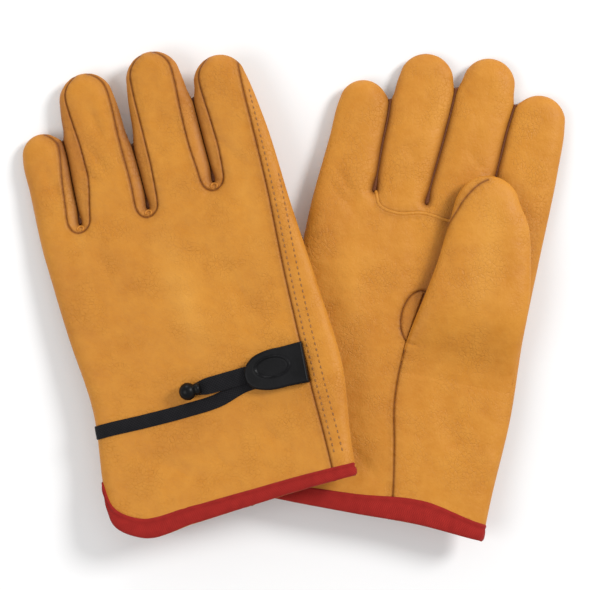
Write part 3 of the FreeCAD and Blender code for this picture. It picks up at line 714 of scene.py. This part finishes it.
def put(material, kind, links=(), **settings):
    """Adds a shader node, sets its properties or inputs by name, and links its inputs."""
    node = material.node_tree.nodes.new(kind)
    for key, value in settings.items():
        if hasattr(node, key):
            setattr(node, key, value)
        else:
            node.inputs[key.replace("_", " ")].default_value = value
    for target, source in links:
        material.node_tree.links.new(source, node.inputs[target])
    return node


def link(material, source, socket):
    material.node_tree.links.new(source, socket)


def mixed(material, factor, a, b):
    """A colour mix by a socket; a and b are sockets or colours."""
    node = put(material, "ShaderNodeMix", [(0, factor)], data_type="RGBA")
    for socket, value in ((node.inputs[6], a), (node.inputs[7], b)):
        if isinstance(value, bpy.types.NodeSocket):
            link(material, value, socket)
        else:
            socket.default_value = (*value, 1)
    return node.outputs[2]


def product(material, a, b):
    """Two values multiplied; a is a socket, and b is a socket or a number."""
    node = put(material, "ShaderNodeMath", [(0, a)], operation="MULTIPLY")
    if isinstance(b, bpy.types.NodeSocket):
        link(material, b, node.inputs[1])
    else:
        node.inputs[1].default_value = b
    return node.outputs[0]


def noise_of(material, place, scale, detail=2.0, roughness=0.5):
    return put(
        material, "ShaderNodeTexNoise", [("Vector", place)], Scale=scale, Detail=detail, Roughness=roughness
    ).outputs


def bump(material, height, strength, distance, below=None, invert=False):
    """A bump over a height socket, on top of the bump below it."""
    links = [("Height", height)] if below is None else [("Height", height), ("Normal", below)]
    return put(
        material, "ShaderNodeBump", links, invert=invert, Strength=strength, Distance=distance
    ).outputs[0]


def ramp(material, source, low, high, floor=0.0, ceiling=1.0):
    """Maps a value from low..high to floor..ceiling."""
    node = material.node_tree.nodes.new("ShaderNodeMapRange")
    node.clamp = True
    for index, value in ((1, low), (2, high), (3, floor), (4, ceiling)):
        node.inputs[index].default_value = value
    link(material, source, node.inputs[0])
    return node.outputs[0]


def leather_material(name, base, pale, dark):
    material, shader = node_material(name)
    place = put(material, "ShaderNodeTexCoord").outputs["Object"]
    cloud = noise_of(material, place, 22.0, 5.0, 0.6)
    mottle = noise_of(material, place, 130.0, 6.0, 0.65)["Fac"]
    grain = put(material, "ShaderNodeTexVoronoi", [("Vector", place)], Scale=900.0).outputs["Distance"]
    fine = noise_of(material, place, 1500.0, 3.0)["Fac"]
    bend = put(material, "ShaderNodeVectorMath", [(0, cloud["Color"]), (2, place)], operation="MULTIPLY_ADD")
    bend.inputs[1].default_value = (0.010, 0.010, 0.010)
    bent = [("Vector", bend.outputs[0])]
    cells = put(material, "ShaderNodeTexVoronoi", bent, feature="DISTANCE_TO_EDGE", Scale=460.0)
    cracks = ramp(material, cells.outputs["Distance"], 0.0, 0.09, 1.0, 0.0)
    patches = ramp(material, noise_of(material, place, 48.0, 3.0)["Fac"], 0.44, 0.62)
    wrinkle = product(material, cracks, patches)
    # the seam mark holds dark seam lines and painted shade: between the fingers, beside the thumb and on the
    # deep folds
    seam = put(material, "ShaderNodeAttribute", attribute_name="seam").outputs["Fac"]
    # this mark is a painted highlight
    painted_highlight = put(material, "ShaderNodeAttribute", attribute_name="painted_highlight").outputs["Fac"]
    colour = mixed(material, ramp(material, cloud["Fac"], 0.35, 0.65), base, dark)
    colour = mixed(material, ramp(material, mottle, 0.3, 0.75, 0.0, 0.35), colour, pale)
    colour = mixed(material, ramp(material, wrinkle, 0.0, 1.0, 0.0, 0.30), colour, dark)
    # painted highlight: paler where its mark is high
    colour = mixed(material, painted_highlight, colour, pale)
    # dark seam lines and painted shade, from the seam mark
    colour = mixed(material, ramp(material, seam, 0.0, 1.0, 0.0, 0.85), colour, (0.150, 0.040, 0.008))
    link(material, colour, shader.inputs["Base Color"])
    link(material, ramp(material, mottle, 0.3, 0.7, 0.42, 0.58), shader.inputs["Roughness"])
    shader.inputs["Specular IOR Level"].default_value = 0.26
    folds = bump(material, wrinkle, 0.38, 0.0005, invert=True)
    rough = bump(material, mottle, 0.40, 0.0018, folds)
    pores = bump(material, grain, 0.16, 0.0004, rough)
    link(material, bump(material, fine, 0.12, 0.0003, pores), shader.inputs["Normal"])
    return material


def woven_material(name, base, dark, threads, roughness, sheen):
    """A narrow woven tape: ribs across and along it, from a map in metres."""
    material, shader = node_material(name)
    place = put(material, "ShaderNodeUVMap", uv_map="weave").outputs[0]
    split = put(material, "ShaderNodeSeparateXYZ", [("Vector", place)])
    waves = []
    for turn in split.outputs[:2]:
        angle = product(material, turn, threads * 2 * math.pi)
        waves.append(put(material, "ShaderNodeMath", [(0, angle)], operation="SINE").outputs[0])
    height = ramp(material, product(material, *waves), -1, 1)
    where = put(material, "ShaderNodeTexCoord").outputs["Object"]
    fuzz = noise_of(material, where, 260.0, 5.0)["Fac"]
    colour = mixed(material, height, dark, base)
    colour = mixed(material, ramp(material, fuzz, 0.35, 0.7, 0.0, 0.5), colour, dark)
    link(material, colour, shader.inputs["Base Color"])
    shader.inputs["Roughness"].default_value = roughness
    shader.inputs["Sheen Weight"].default_value = sheen
    shader.inputs["Sheen Roughness"].default_value = 0.4
    shader.inputs["Specular IOR Level"].default_value = 0.15
    ribs = bump(material, height, 0.6, 0.0003)
    link(material, bump(material, fuzz, 0.3, 0.0005, ribs), shader.inputs["Normal"])
    return material


def plastic_material(name, colour, shade, roughness):
    material, shader = node_material(name)
    shader.inputs["Specular IOR Level"].default_value = 0.15
    place = put(material, "ShaderNodeTexCoord").outputs["Object"]
    speck = noise_of(material, place, 700.0, 4.0)["Fac"]
    wear = noise_of(material, place, 90.0, 4.0)["Fac"]
    mix = mixed(material, ramp(material, wear, 0.35, 0.7), colour, shade)
    link(material, mix, shader.inputs["Base Color"])
    link(material, ramp(material, wear, 0.3, 0.7, roughness, roughness + 0.14), shader.inputs["Roughness"])
    link(material, bump(material, speck, 0.12, 0.0003), shader.inputs["Normal"])
    return material


def thread_material():
    material, shader = node_material("sewing thread")
    place = put(material, "ShaderNodeTexCoord").outputs["Object"]
    twist = noise_of(material, place, 2400.0, 3.0)["Fac"]
    colour = mixed(material, ramp(material, twist, 0.35, 0.65), (0.20, 0.075, 0.018), (0.42, 0.19, 0.05))
    link(material, colour, shader.inputs["Base Color"])
    shader.inputs["Roughness"].default_value = 0.7
    link(material, bump(material, twist, 0.5, 0.0002), shader.inputs["Normal"])
    return material


leather_top = leather_material(
    "grain leather", (0.575, 0.226, 0.021), (0.700, 0.325, 0.052), (0.500, 0.182, 0.016)
)
leather_thumb = leather_material(
    "grain leather, thumb", (0.590, 0.235, 0.022), (0.710, 0.335, 0.054), (0.515, 0.190, 0.017)
)
leather_side = leather_material(
    "grain leather, sides", (0.540, 0.208, 0.022), (0.650, 0.290, 0.050), (0.460, 0.160, 0.016)
)
# Near-black leather for the folds deep between the fingers: painted shade, standing in for the shade deep in
# the gaps.
painted_shade_fold_leather = leather_material(
    "grain leather, deep folds in painted shade", (0.085, 0.026, 0.006), (0.14, 0.05, 0.012), (0.05, 0.014, 0.004)
)
red_cloth = woven_material("red binding cloth", (0.420, 0.024, 0.018), (0.240, 0.011, 0.009), 900, 0.8, 0.06)
black_web = woven_material("black woven tape", (0.014, 0.013, 0.015), (0.004, 0.004, 0.005), 620, 0.75, 0.03)
BLACK = (0.0022, 0.0022, 0.0026)
black_plastic = plastic_material("black keeper plastic", BLACK, (0.006, 0.006, 0.007), 0.34)
ball_plastic = plastic_material("black ball plastic", BLACK, (0.006, 0.006, 0.0065), 0.24)
thread = thread_material()

SHADES = {
    "back_panel": leather_top,
    "side_band": leather_top,
    "palm_panel": leather_top,
    "middle_ring_front": leather_top,
    "thumb_base_panel": leather_thumb,
    "thumb_keystone": leather_side,
    **{name: leather_side for name in FOURCHETTES},
}

# ---- Building ----


def dress(piece, material, edge=None):
    """Gives a piece its material and slot, and sharp edges where it turns by more than edge degrees."""
    if edge is not None:
        piece.data.set_sharp_from_angle(angle=math.radians(edge))
    piece.data.materials.clear()
    piece.data.materials.append(material)


def tie(piece, side, name, body):
    """Ties a piece to its body, in place of its node."""
    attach(piece, f"{side}_{body}")
    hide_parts(f"{side}_{name}")


def finish_piece(piece, side, name, body, material, edge=None):
    dress(piece, material, edge)
    tie(piece, side, name, body)


def sheet_piece(side, name, places, heights, faces, upward, marks, material):
    """One cut of leather: the chosen faces of a skin, with their own thickness."""
    used, index = np.unique(faces, return_inverse=True)
    faces = index.reshape(faces.shape)
    a, b, c = (places[used][faces[:, k]] for k in range(3))
    turn = (b[:, 0] - a[:, 0]) * (c[:, 1] - a[:, 1]) - (b[:, 1] - a[:, 1]) * (c[:, 0] - a[:, 0])
    wrong = (turn > 0) != upward
    faces[wrong] = faces[wrong][:, ::-1]
    vertices = np.column_stack([places[used], heights[used]])
    piece = make_mesh(f"{side}_{name}_leather", vertices, faces, lay_matrix(side))
    for key, values in marks.items():
        mark(piece, key, values[used])
    thicken(piece, LEATHER * MM)
    dress(piece, material, 55)
    return piece


def seam_mark(near):
    """How dark the leather is near a seam."""
    return np.exp(-((near / 0.5) ** 2)) * 0.75 + 0.25 * np.exp(-((near / 2.6) ** 2))


def painted_highlight_mark(hand, places, face):
    """Painted highlight: where the leather is painted paler, mostly on raised ridges and along the crowns of
    the fingers.
    """
    spots = PAINTED_HIGHLIGHTS.get((hand.side, face), ())
    return np.clip(crease_depth(places, spots), 0, 0.8) * (0.65 + 0.5 * ripple(places, 5, 9))


def build_hand(side):
    """The hand's panels: one net of triangles laid on the back and on the palm, and cut along the seams."""
    hand = Hand(side)
    sewn = [*hand.forks, hand.band, hand.gunn, hand.thumb_seam, hand.keystone]
    places, faces = flat_mesh(hand.outline, hand.closing, [*(seam.curve for seam in sewn), hand.hem_end])
    middles = places[faces].mean(axis=1)
    faces = faces[middles[:, 1] > height_at(hand.hem_end, middles[:, 0])]
    back_height, back_near = hand.back(places)
    palm_height, palm_near = hand.palm(places)
    thumb_gap = hand.thumb.distance(places)
    x, y = places[:, 0] - THUMB_SHIFT[side], places[:, 1]
    # the palm dips under the thumb's root, and rises where the keystone joins the thumb to the hand
    under = inside(hand.thumb.points, places) & (y > 70)
    dip = np.where(under, smoothstep(0.2, 2.5, thumb_gap) * smoothstep(73, 84, y), 0)
    rise = np.exp(-(((x - 2.5) / 5.5) ** 2) - (((y - 104) / 10.0) ** 2))
    palm_height = palm_height - 1.6 * dip * (1 - smoothstep(100, 116, y)) + 2.6 * rise * (1 - dip)
    # painted shade: the leather is coloured darker between the fingers, where shade falls in the gaps, and a
    # painted shadow of the thumb lies in the fold beside its left edge
    between = 0.85 * np.exp(-((hand.gaps.distance(places) / 1.8) ** 2)) * (1 - smoothstep(205, 240, y))
    along = smoothstep(108, 124, y) * (1 - smoothstep(166, 184, y))
    fold = 0.5 * np.exp(-((thumb_gap / 3.2) ** 2)) * (1 - smoothstep(20, 34, x)) * along
    back_names, palm_names = panels_of(hand, places, faces)
    laid = hand.bulged(places)
    # each skin's seam mark holds its dark seam lines and this painted shade
    skins = (
        ("back", back_names, back_height, seam_mark(back_near) + between),
        ("palm", palm_names, -palm_height, seam_mark(palm_near) + between + fold),
    )
    for face, names, heights, dark in skins:
        # dark seam lines with painted shade, and a painted highlight
        marks = {"seam": np.clip(dark, 0, 1), "painted_highlight": painted_highlight_mark(hand, places, face)}
        for name, shade in SHADES.items():
            cut = faces[names == name]
            if len(cut):
                piece = sheet_piece(side, name, laid, heights, cut, face == "back", marks, shade)
                tie(piece, side, name, "glove")
    build_webs(hand)
    return hand


WEB_STEPS, WEB_FEWEST = 60, 8
WEB_GAP = 2.2
WEB_SECTION = ((-0.25, 0.0), (0.25, 0.5), (0.5, 1.0), (0.75, 0.5), (1.25, 0.0))


def build_webs(hand):
    """The fold of each fourchette deep between two fingers, which closes the gap near its fork."""
    side = hand.side
    points = hand.outline.points + hand.closing_moves
    for number, name in enumerate(FOURCHETTES):
        fork = fork_place(side, number)
        lowest = nearest(points, fork)
        rows = []
        for step in range(1, WEB_STEPS):
            left, right = points[lowest - step], points[lowest + step]
            if right[0] - left[0] > WEB_GAP and step > WEB_FEWEST:
                break
            rows.append((left, right))
        vertices = []
        for k, (left, right) in enumerate(rows):
            drop = 0.4 + 1.6 * k / len(rows)
            for share, depth in WEB_SECTION:
                place = left + (right - left) * share
                vertices.append((place[0], place[1], -drop * depth))
        faces = net_faces(len(rows), len(WEB_SECTION), around=False)
        piece = make_mesh(f"{side}_{name}_fold", vertices, faces, lay_matrix(side))
        # the fold is also painted fully dark with the seam mark: painted shade
        mark(piece, "seam", np.ones(len(vertices)))
        thicken(piece, 0.8 * MM)
        finish_piece(piece, side, name, "glove", painted_shade_fold_leather)
        build_tuck(hand, fork, name)


def build_tuck(hand, fork, name):
    """The little loop of turned leather where a fourchette ends."""
    angles = np.radians(np.linspace(-125, 150, 24))
    circle = np.column_stack([1.75 * np.sin(angles) + 0.3, 1.30 * np.cos(angles) - 2.3])
    points, normals = skin_points(hand, fork + circle, 1, 0.10)
    piece = sweep(f"{hand.side}_{name}_tuck", points, normals, oval(0.52, 0.52, 45), hand.side)
    finish_piece(piece, hand.side, name, "glove", leather_side)


def build_thumb(hand):
    """The thumb's two skins, which bend between its root and the place where it is free of the hand."""
    side = hand.side
    places, faces = flat_mesh(hand.thumb, np.zeros((0, 2)), [hand.thumb_tip.curve])
    outer, inner, near, distance = hand.thumb_skins(places)
    rim = distance < 1e-3
    closed = places[:, 1] > 70.5
    middle = (outer + inner) / 2
    level = np.where(rim & closed, middle, outer)
    under = np.where(rim & closed, middle, inner)
    # painted highlight along the thumb's crown
    painted_highlight = np.clip(0.4 * crease_depth(places, THUMB_PAINTED_HIGHLIGHTS), 0, 1)
    marks = {"seam": seam_mark(near), "painted_highlight": painted_highlight}
    free = places[faces].mean(axis=1)[:, 1] > 80
    outer_piece = sheet_piece(side, "thumb_outer", places, -level, faces, False, marks, leather_thumb)
    inner_piece = sheet_piece(side, "thumb_inner", places, -under, faces[free], True, marks, leather_side)
    for piece, name in ((outer_piece, "thumb_outer"), (inner_piece, "thumb_inner")):
        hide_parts(f"{side}_{name}")
        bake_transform(piece)


def oval(high, wide, step):
    """An oval section, a point every step degrees."""
    return [(high * math.sin(a), wide * math.cos(a)) for a in np.radians(np.arange(0, 360, step))]


def across_of(points, normals):
    """Directions across a path on a surface."""
    return unit(np.cross(normals, unit(np.gradient(points, axis=0))))


def sweep(name, centres, normals, section, side, sides=None):
    """A closed section carried along a path: its points are (out, across) along each place's directions."""
    sides = across_of(centres, normals) if sides is None else sides
    vertices = []
    for centre, normal, across in zip(centres, normals, sides):
        for out, along in section:
            vertices.append(centre + normal * out + across * along)
    rows, count = len(centres), len(section)
    faces = net_faces(rows, count)
    faces.append(tuple(range(count))[::-1])
    faces.append(tuple((rows - 1) * count + j for j in range(count)))
    piece = make_mesh(name, vertices, faces, lay_matrix(side))
    weave_map(piece, runs_of(centres) * MM, runs_of(section) * MM)
    recalculate(piece)
    piece.data.set_sharp_from_angle(angle=math.radians(50))
    return piece


def recalculate(piece, weld=False):
    """Turns a closed mesh's faces outward."""
    net = bmesh.new()
    net.from_mesh(piece.data)
    if weld:
        bmesh.ops.remove_doubles(net, verts=net.verts, dist=1e-6)
    bmesh.ops.recalc_face_normals(net, faces=net.faces)
    net.to_mesh(piece.data)
    net.free()


def skin_points(hand, path, face, lift=0.0):
    """Points on the back (+1) or palm (-1) skin under a flat path, with the skin's outward normals."""
    skin = hand.back if face > 0 else hand.palm
    step = 0.8
    slopes = []
    for move in ([step, 0], [0, step]):
        slopes.append((skin(path + move)[0] - skin(path - move)[0]) / (2 * step))
    normals = unit(np.column_stack([-slopes[0], -slopes[1], np.ones(len(path))]))
    points = np.column_stack([path, skin(path)[0]]) + normals * lift
    points[:, 2] *= face
    normals[:, 2] *= face
    return points, normals


# The binding's section: how far out of the leather, and its share of the way from top edge to end.
HEM_PROFILE = (
    (-1.7, 0.06), (-0.2, 0.02), (0.45, 0.03), (0.82, 0.08), (0.92, 0.16), (0.72, 0.24), (0.68, 0.30),
    (0.98, 0.42), (1.15, 0.60), (1.12, 0.78), (0.85, 0.92), (0.3, 0.99), (-0.6, 1.0), (-1.4, 0.95),
    (-1.9, 0.8), (-2.1, 0.5), (-2.05, 0.2),
)


def hem_loop(hand, curve, count):
    """A line round the cuff's mouth: over the back and then back under the palm."""
    curve = curve[:count]
    height = HALF_THICKNESS * crown(hand.outline.distance(curve))
    return np.concatenate([np.column_stack([curve, height]), np.column_stack([curve, -height])[::-1]])


def build_hem(hand):
    """The bias binding: a strip folded over the cuff's raw edge, all the way round."""
    side = hand.side
    edges = []
    for curve in (hand.hem_line, hand.hem_end):
        kept = curve[inside(hand.polygon, curve)]
        edges.append(resample(kept, runs_of(kept)[-1] / 150))
    top, end = (hem_loop(hand, edge, min(map(len, edges))) for edge in edges)
    flat = (top + end) / 2
    down = unit(end - top)
    outs = unit(np.cross(np.roll(flat, -1, axis=0) - np.roll(flat, 1, axis=0), down))
    if ((flat - flat.mean(axis=0)) * outs).sum() < 0:
        outs = -outs
    for _ in range(2):
        outs = unit(np.roll(outs, 1, axis=0) + 2 * outs + np.roll(outs, -1, axis=0))
    length = np.linalg.norm(end - top, axis=1)
    runs = runs_of(flat)
    vertices = []
    for k, run in enumerate(runs):
        pucker = 0.16 * math.sin(run * 2 * math.pi / 9.0 + 2 * math.sin(run * 0.13))
        pucker += 0.3 * noise.noise(Vector((run / 14, 3.1, hand.outline.points[0][0])))
        for out, drop in HEM_PROFILE:
            shift = pucker if out > 0.3 else 0
            vertices.append(top[k] + down[k] * length[k] * drop + outs[k] * (out + shift))
    faces = net_faces(len(flat), len(HEM_PROFILE), closed=True)
    piece = make_mesh(f"{side}_hem_binding_cloth", vertices, faces, lay_matrix(side))
    weave_map(piece, runs * MM, np.arange(len(HEM_PROFILE)) * 0.0011)
    recalculate(piece)
    finish_piece(piece, side, "hem_binding", "glove", red_cloth, 70)


STITCH_RINGS = ((-0.5, 0.35), (-0.36, 0.85), (0.0, 1.0), (0.36, 0.85), (0.5, 0.35))
STITCH_SIDES = 7
STITCH_LENGTH, STITCH_RADIUS, STITCH_LIFT = 2.1, 0.36, 0.12


def stitch_mesh(name, hand, rows):
    """Short stitches along rows of (points, normals), with their ends drawn into the leather."""
    vertices, faces = [], []
    for points, normals in rows:
        runs = runs_of(points)

        def at(values, place):
            return np.array([np.interp(place, runs, values[:, k]) for k in range(3)])

        for place in np.arange(1.0, runs[-1] - 1.0, STITCH_PITCH):
            centre = at(points, place)
            ahead = unit(at(points, place + 1) - centre)
            normal = unit(at(normals, place))
            across = unit(np.cross(normal, ahead))
            first = len(vertices)
            for along, swell in STITCH_RINGS:
                lift = STITCH_LIFT - 0.35 * (2 * along) ** 2
                middle = centre + ahead * along * STITCH_LENGTH + normal * lift
                for angle in np.linspace(0, 2 * math.pi, STITCH_SIDES, endpoint=False):
                    round_ = across * math.cos(angle) + normal * math.sin(angle) * 0.8
                    vertices.append(middle + round_ * STITCH_RADIUS * swell)
            quads = net_faces(len(STITCH_RINGS), STITCH_SIDES)
            last = (len(STITCH_RINGS) - 1) * STITCH_SIDES
            quads.append(tuple(range(STITCH_SIDES))[::-1])
            quads.append(tuple(range(last, last + STITCH_SIDES)))
            faces += [tuple(first + corner for corner in quad) for quad in quads]
    piece = make_mesh(name, vertices, faces, lay_matrix(hand.side))
    recalculate(piece)
    return piece


def build_stitches(hand):
    """Two rows of stitches on the side band, beside its seam."""
    side = hand.side
    curve = hand.band.curve
    across = -rightward(unit(np.gradient(curve, axis=0)))
    rows = []
    for offset in STITCH_ROWS:
        line = curve + across * offset
        fine = inside(hand.polygon, line) & (hand.outline.distance(line) > 1.2)
        rows.append(skin_points(hand, line[fine & (line[:, 1] > 12) & (line[:, 1] < 226)], 1))
    piece = stitch_mesh(f"{side}_band_stitching_thread", hand, rows)
    finish_piece(piece, side, "band_stitching", "glove", thread)


def build_welt(hand):
    """The rounded strip sewn into the seam under the middle and ring fingers."""
    side = hand.side
    path = resample(hand.gunn.curve[4:-4], 1.5)
    points, normals = skin_points(hand, path, -1, 0.35)
    piece = sweep(f"{side}_gunn_welt_leather", points, normals, oval(0.8, 1.1, 36), side)
    # the welt is painted a little paler all over, a painted highlight on the raised strip, and a touch darker
    # by the seam mark
    for key, value in (("seam", 0.08), ("painted_highlight", 0.15)):
        mark(piece, key, np.full(len(piece.data.vertices), value))
    finish_piece(piece, side, "gunn_welt", "glove", leather_top)


BALL_RADIUS = 4.7
BALL_HEIGHT = 10.3
KEEPER_RIGHT, KEEPER_LOW, KEEPER_HIGH = 56.3, 54.4, 76.4
KEEPER_NOSE = (
    (44.2, 75.6), (35.2, 75.0), (28.9, 73.0), (25.1, 69.8), (23.0, 65.4), (23.4, 60.6), (26.6, 56.8),
    (31.7, 54.8), (44.4, 54.4),
)
KEEPER_BASE, KEEPER_HEIGHT, KEEPER_ROUNDING = 5.5, 5.0, 1.3
OVAL_CENTRE = np.array([38.5, 66.0])
OVAL_RADII = np.array([9.2, 5.4])
TUNNEL_LOW, TUNNEL_HIGH, TUNNEL_END, TUNNEL_HEIGHT = 55.8, 69.8, 44.6, 2.9
TAIL_HALF = 4.4
TAIL_HEIGHT = 6.85
# Half of the tape's section, from the middle of its top: its height, and its share of the half width.
TAPE_HALF_SECTION = ((1.10, 0.0), (1.06, 0.5), (1.02, 0.94), (0.8, 1.02), (0.25, 1.03), (0.05, 1.0))
TAPE_SECTION = [(out, -share) for out, share in TAPE_HALF_SECTION[:0:-1]] + list(TAPE_HALF_SECTION)
BALL_COLLAR = ((3.7, 2.75), (4, 2.7), (4.5, 3.1), (5.3, 3.3), (6.2, 3.2), (6.9, 2.7), (7.2, 2), (7.2, 0))
BALL_TURNS = 48


def tape_section(half, thick):
    return [(out * thick, across * half) for out, across in TAPE_SECTION]


def build_strap(hand):
    """The strap across the wrist, which starts at the pinky edge and follows the back."""
    side = hand.side
    edge_x = EDGES[side]["pinky"][2] + 0.4
    path = smooth_path([(edge_x + 1.0, TAPE_PATH[0][1] - 0.2), *TAPE_PATH], 1.2)
    path = path[inside(hand.polygon, path)]
    points, normals = skin_points(hand, path, 1, 0.02)
    lead = np.array([[edge_x - 0.1, path[0][1], 0.4], [edge_x + 0.05, path[0][1], 1.8]])
    lead_normals = np.array([[-1, 0, 0.05], [-0.95, 0, 0.3]])
    points = np.concatenate([lead, points])
    normals = unit(np.concatenate([lead_normals, normals]))
    for _ in range(2):
        normals[1:-1] = unit(normals[:-2] + 2 * normals[1:-1] + normals[2:])
    piece = sweep(f"{side}_wrist_tape_web", points, normals, tape_section(TAPE_HALF, 0.95), side)
    finish_piece(piece, side, "wrist_tape", "glove", black_web)


def build_tail(side):
    """The tape's free end, slightly twisted, from the keeper to the ball."""
    path = smooth_path(TAIL_PATH, 1.0)
    sag = 0.0375 * np.sin(np.linspace(0, math.pi * 2, len(path)))
    points = np.column_stack([path, TAIL_HEIGHT + sag])
    up = np.tile([0.0, 0.0, 1.0], (len(points), 1))
    across = across_of(points, up)
    twist = np.radians(6 * np.sin(np.linspace(0, 2.2 * math.pi, len(path))))[:, None]
    normals = up * np.cos(twist) + across * np.sin(twist)
    taper = 0.62 + 0.38 * smoothstep(0, 12, np.arange(len(path)))
    sides = (across * np.cos(twist) - up * np.sin(twist)) * taper[:, None]
    piece = sweep(f"{side}_tape_tail_web", points, normals, tape_section(TAIL_HALF, 0.9), side, sides)
    finish_piece(piece, side, "tape_tail", "pull", black_web)


def build_ball(side):
    """The bead on the tail's end: a ball with a collar where the tape goes in."""
    along = unit(np.append(np.subtract(TAIL_PATH[1], TAIL_PATH[0]), 0.0))
    across = np.array([-along[1], along[0], 0.0])
    centre = np.array([*TAIL_PATH[0], BALL_HEIGHT])
    profile = [(-BALL_RADIUS, 0.0)]
    for degrees in range(-80, 49, 8):
        angle = math.radians(degrees)
        ridge = 0.10 * math.exp(-((degrees / 3.0) ** 2))
        profile.append((BALL_RADIUS * math.sin(angle), (BALL_RADIUS + ridge) * math.cos(angle)))
    profile += BALL_COLLAR
    vertices = []
    for forward, radius in profile:
        for angle in np.linspace(0, 2 * math.pi, BALL_TURNS, endpoint=False):
            offset = across * math.cos(angle) + np.array([0, 0, math.sin(angle)])
            vertices.append(centre + along * forward + offset * radius)
    faces = net_faces(len(profile), BALL_TURNS)
    piece = make_mesh(f"{side}_pull_ball_bead", vertices, faces, lay_matrix(side))
    recalculate(piece, weld=True)
    finish_piece(piece, side, "pull_ball", "pull", ball_plastic, 40)


def build_keeper(side):
    """The moulded slide: a round-nosed block with a tunnel under it and a raised oval rim on top."""
    nose = smooth_path(KEEPER_NOSE, 0.5, (-1, 0.02), (1, 0.1))
    corners = [(KEEPER_RIGHT, KEEPER_LOW), (KEEPER_RIGHT, KEEPER_HIGH)]
    closing = resample([KEEPER_NOSE[-1], *corners, KEEPER_NOSE[0]], 0.5)
    outline = Outline(np.concatenate([nose, closing[1:-1]])[::-1])
    places, faces = flat_mesh(outline, np.zeros((0, 2)), [], (0.12, 0.35, 0.7, 1.1, 1.5), 0.55)
    d = outline.distance(places)
    t = np.clip(1 - d / KEEPER_ROUNDING, 0, 1)
    top = KEEPER_BASE + KEEPER_HEIGHT - KEEPER_ROUNDING + KEEPER_ROUNDING * np.sqrt(1 - t**2)
    rim = np.hypot(*((places - OVAL_CENTRE) / OVAL_RADII).T)
    top += 0.5 * np.exp(-(((rim - 1) / 0.07) ** 2)) - 0.25 * smoothstep(1.0, 0.9, rim)
    tunnel = (places[:, 0] < TUNNEL_END) & (places[:, 1] > TUNNEL_LOW) & (places[:, 1] < TUNNEL_HIGH)
    bottom = np.where(tunnel, KEEPER_BASE + TUNNEL_HEIGHT, KEEPER_BASE + 0.05)
    count = len(places)
    vertices = np.concatenate([np.column_stack([places, top]), np.column_stack([places, bottom])])
    net = [tuple(face) for face in faces] + [tuple(face + count)[::-1] for face in faces]
    pairs = dict.fromkeys((face[k], face[(k + 1) % 3]) for face in faces for k in range(3))
    net += [(b, a, a + count, b + count) for a, b in pairs if (b, a) not in pairs]
    piece = make_mesh(f"{side}_keeper_slide", vertices, net, lay_matrix(side))
    recalculate(piece)
    finish_piece(piece, side, "keeper", "glove", black_plastic, 40)


for side in ("right", "left"):
    hand = build_hand(side)
    build_thumb(hand)
    build_hem(hand)
    build_stitches(hand)
    build_welt(hand)
    build_strap(hand)
    build_tail(side)
    build_ball(side)
    build_keeper(side)

# ---- Floor, light and camera ----


FLOOR_HALF = 3.0


def floor_piece():
    mesh = bpy.data.meshes.new("floor")
    corners = [(x * FLOOR_HALF, y * FLOOR_HALF, 0) for x, y in ((-1, -1), (1, -1), (1, 1), (-1, 1))]
    mesh.from_pydata(corners, [], [(0, 1, 2, 3)])
    floor = bpy.data.objects.new("floor", mesh)
    bpy.context.scene.collection.objects.link(floor)
    material, shader = node_material("pale floor")
    place = put(material, "ShaderNodeTexCoord").outputs["Object"]
    colour = mixed(material, noise_of(material, place, 3.0)["Fac"], (0.90, 0.90, 0.90), (0.93, 0.93, 0.93))
    link(material, colour, shader.inputs["Base Color"])
    shader.inputs["Roughness"].default_value = 0.9
    shader.inputs["Specular IOR Level"].default_value = 0.1
    mesh.materials.append(material)


def area_light(name, place, size, power, aim=(0, 0, 0)):
    data = bpy.data.lights.new(name, "AREA")
    data.shape = "DISK"
    data.size = size
    data.energy = power
    light = bpy.data.objects.new(name, data)
    light.location = place
    light.rotation_euler = (Vector(aim) - Vector(place)).to_track_quat("-Z", "Y").to_euler()
    bpy.context.scene.collection.objects.link(light)


floor_piece()
area_light("key", (1.7, 1.0, 1.7), 0.8, 42.0)
area_light("fill", (-1.1, -0.35, 1.5), 1.2, 9.0)
area_light("low", (-0.4, 2.0, 0.7), 0.8, 8.0, aim=(0, 0, 0.02))

world = bpy.data.worlds.new("studio")
bpy.context.scene.world = world
world.use_nodes = True
background = world.node_tree.nodes["Background"]
background.inputs[0].default_value = (1.0, 1.0, 1.0, 1)
background.inputs[1].default_value = 0.55
bpy.context.scene.view_settings.view_transform = "Standard"

# Straight above: at the gloves' middle height the picture is VIEW_WIDTH wide.
VIEW_WIDTH = 0.3186
MIDDLE_HEIGHT = 0.020
data = bpy.data.cameras.new("camera")
data.lens = 120.0
data.sensor_width = 36.0
camera = bpy.data.objects.new("camera", data)
camera.location = (0.0008, 0.0006, MIDDLE_HEIGHT + VIEW_WIDTH * data.lens / data.sensor_width)
camera.rotation_euler = (0, 0, 0)
bpy.context.scene.collection.objects.link(camera)
bpy.context.scene.camera = camera
bpy.context.view_layer.update()
